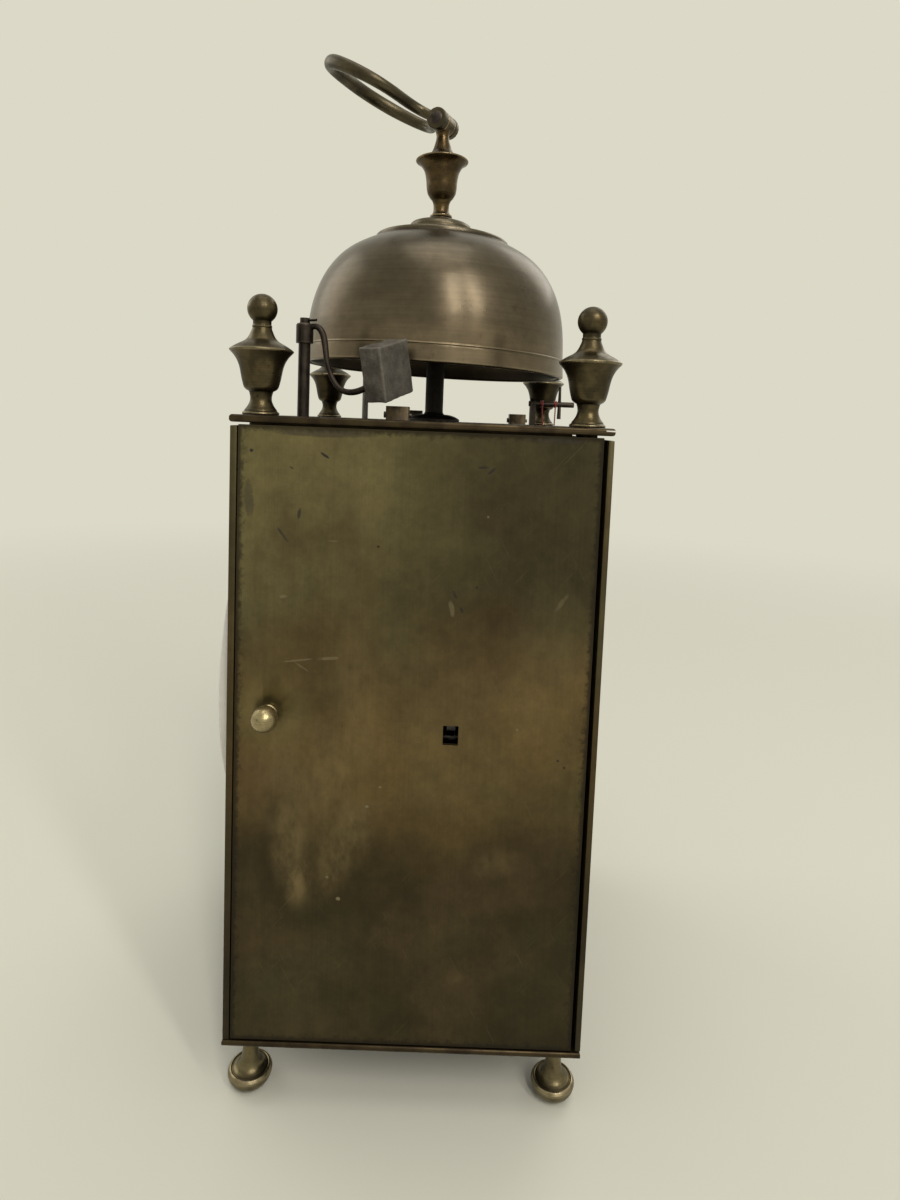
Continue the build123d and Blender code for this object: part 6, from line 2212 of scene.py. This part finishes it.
@dataclass
class Studio:
    """A pale floor, soft lamps, a pale world and the camera.

    Each lamp is (name, azimuth, height, distance, size, power), as `_lamp` takes them. The card takes on the
    wall's colour between the two distances of `merge`, in metres. `frame_shift` is the lens's shift.
    """

    floor_half: float = 6.0
    wall: Colour = (0.715, 0.693, 0.575)
    floor_colour: Colour = (0.645, 0.640, 0.545)
    merge: Point = (0.30, 1.30)
    ambient: float = 0.50
    eye: Point = (276.73, 9.67, 213.36)
    yaw: float = 0.11
    pitch: float = 4.83
    roll: float = 2.22
    lens: float = 21.975
    sensor: float = 36.0
    frame_shift: Point = (-0.0047, -0.0979)
    aim: Point = (0.0, 0.0, 0.195)
    warm: Colour = (1.0, 0.965, 0.90)
    soft: Colour = (1.0, 0.985, 0.955)
    lamps: tuple[tuple[str, float, float, float, Point, float], ...] = field(default=(
        ("key", 17.0, 38.0, 1.45, (0.13, 0.80), 6.0),
        ("strip", 37.0, 38.0, 1.40, (0.10, 0.80), 4.4),
        ("dial_side", -112.0, 30.0, 1.70, (1.0, 1.0), 4.6),
        ("back_side", 140.0, 35.0, 1.80, (0.9, 0.9), 3.8),
        ("top", 10.0, 84.0, 1.50, (0.9, 0.9), 5.0),
    ))

    def build(self) -> None:
        """Builds the studio."""
        self._floor()
        self._world()
        for lamp in self.lamps:
            self._lamp(*lamp)
        self._camera()
        bpy.context.scene.view_settings.view_transform = "Standard"

    def _floor(self) -> None:
        """A flat square of pale card."""
        half = self.floor_half
        grid = np.array([(-half, -half, 0), (half, -half, 0), (half, half, 0), (-half, half, 0)])
        mesh = bpy.data.meshes.new("floor")
        mesh.from_pydata(grid.tolist(), [], [(0, 1, 2, 3)])
        floor = linked("floor", mesh)
        tree = Tree("pale_card", 0.0, 0.75)
        mesh.materials.append(self._merged(tree, tree.finish(self.floor_colour)))

    def _merged(self, tree: Tree, card: bpy.types.Material) -> bpy.types.Material:
        """Far from the clock the card is seen in the wall's colour, so that no horizon shows.

        Args:
            tree: the card's nodes.
            card: the card's material.

        Returns:
            The same material.
        """
        length = tree.nodes.new("ShaderNodeVectorMath")
        length.operation = "LENGTH"
        tree.feed(length.inputs[0], tree.here)
        seen = tree.nodes.new("ShaderNodeLightPath").outputs["Is Camera Ray"]
        far = tree.times(tree.ease(length.outputs["Value"], *self.merge), seen)
        glow = tree.nodes.new("ShaderNodeEmission")
        tree.feed(glow.inputs["Color"], self.wall)
        mix = tree.nodes.new("ShaderNodeMixShader")
        out = next(n for n in tree.nodes if n.type == "OUTPUT_MATERIAL")
        for socket, value in ((0, far), (1, tree.shader.outputs["BSDF"]), (2, glow.outputs[0])):
            tree.links.new(value, mix.inputs[socket])
        tree.links.new(mix.outputs[0], out.inputs["Surface"])
        return card

    def _world(self) -> None:
        """Soft ambient light, with the pale wall seen directly and in gloss."""
        world = bpy.data.worlds.new("studio")
        world.use_nodes = True
        nodes, links = world.node_tree.nodes, world.node_tree.links
        nodes.clear()
        seen, light = nodes.new("ShaderNodeBackground"), nodes.new("ShaderNodeBackground")
        seen.inputs["Color"].default_value = (*self.wall, 1.0)
        light.inputs["Color"].default_value = (*self.soft, 1.0)
        light.inputs["Strength"].default_value = self.ambient
        path = nodes.new("ShaderNodeLightPath")
        either = path.outputs["Is Camera Ray"]
        for ray in ("Is Glossy Ray", "Is Transmission Ray"):
            most = nodes.new("ShaderNodeMath")
            most.operation = "MAXIMUM"
            links.new(either, most.inputs[0])
            links.new(path.outputs[ray], most.inputs[1])
            either = most.outputs[0]
        mix, out = nodes.new("ShaderNodeMixShader"), nodes.new("ShaderNodeOutputWorld")
        links.new(either, mix.inputs[0])
        links.new(light.outputs[0], mix.inputs[1])
        links.new(seen.outputs[0], mix.inputs[2])
        links.new(mix.outputs[0], out.inputs["Surface"])
        bpy.context.scene.world = world

    def _lamp(self, name: str, azimuth: float, height: float, away: float, size: Point, power: float) -> None:
        """A rectangular lamp that looks at the middle of the clock.

        Args:
            name: what the lamp is for.
            azimuth: direction in degrees from +X towards +Y.
            height: degrees above the floor.
            away: distance in metres.
            size: width and height in metres.
            power: in watts.
        """
        data = bpy.data.lights.new(name, "AREA")
        data.shape, data.size, data.size_y = "RECTANGLE", size[0], size[1]
        data.energy, data.color = power, self.warm
        a, h = math.radians(azimuth), math.radians(height)
        back = np.array([math.cos(a) * math.cos(h), math.sin(a) * math.cos(h), math.sin(h)])
        right = np.cross((0, 0, 1), back)
        right /= np.linalg.norm(right)
        axes = np.column_stack([right, np.cross(back, right), back])
        self._stand(linked(name, data), axes, self.aim + away * back)

    @staticmethod
    def _stand(thing: bpy.types.Object, axes: Array, place: Array) -> None:
        """Puts a lamp or the camera in its place.

        Args:
            thing: the object.
            axes: its own X, Y and Z as columns.
            place: its place in metres.
        """
        matrix = np.eye(4)
        matrix[:3, :3], matrix[:3, 3] = axes, place
        thing.matrix_world = Matrix(matrix.tolist())

    def _camera(self) -> None:
        """The camera, a little above the middle of the right side and close to it."""
        yaw, pitch, roll = (math.radians(v) for v in (self.yaw, self.pitch, self.roll))
        flat = math.cos(pitch)
        ahead = np.array([-math.cos(yaw) * flat, math.sin(yaw) * flat, -math.sin(pitch)])
        level = np.array([math.sin(yaw), math.cos(yaw), 0.0])
        upright = np.cross(level, ahead)
        right = level * math.cos(roll) + upright * math.sin(roll)
        up = -level * math.sin(roll) + upright * math.cos(roll)
        data = bpy.data.cameras.new("camera")
        data.sensor_width, data.lens = self.sensor, self.lens
        data.sensor_fit = "AUTO"
        data.shift_x, data.shift_y = self.frame_shift
        data.clip_start = 0.01
        camera = linked("camera", data)
        self._stand(camera, np.column_stack([right, up, -ahead]), np.array(self.eye) * MM)
        bpy.context.scene.camera = camera


# ---- everything


def main() -> None:
    """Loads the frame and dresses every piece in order."""
    logging.basicConfig(level=logging.INFO, format="%(name)s: %(message)s")
    shop = Workshop(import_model())
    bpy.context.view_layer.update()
    groups = [kind(shop) for kind in (Case, Dial, Bell, Hammer, Suspension, Movement)]
    for group in (*groups, Studio()):
        LOG.info("building %s", type(group).__name__)
        group.build()


if __name__ == "__main__":
    main()
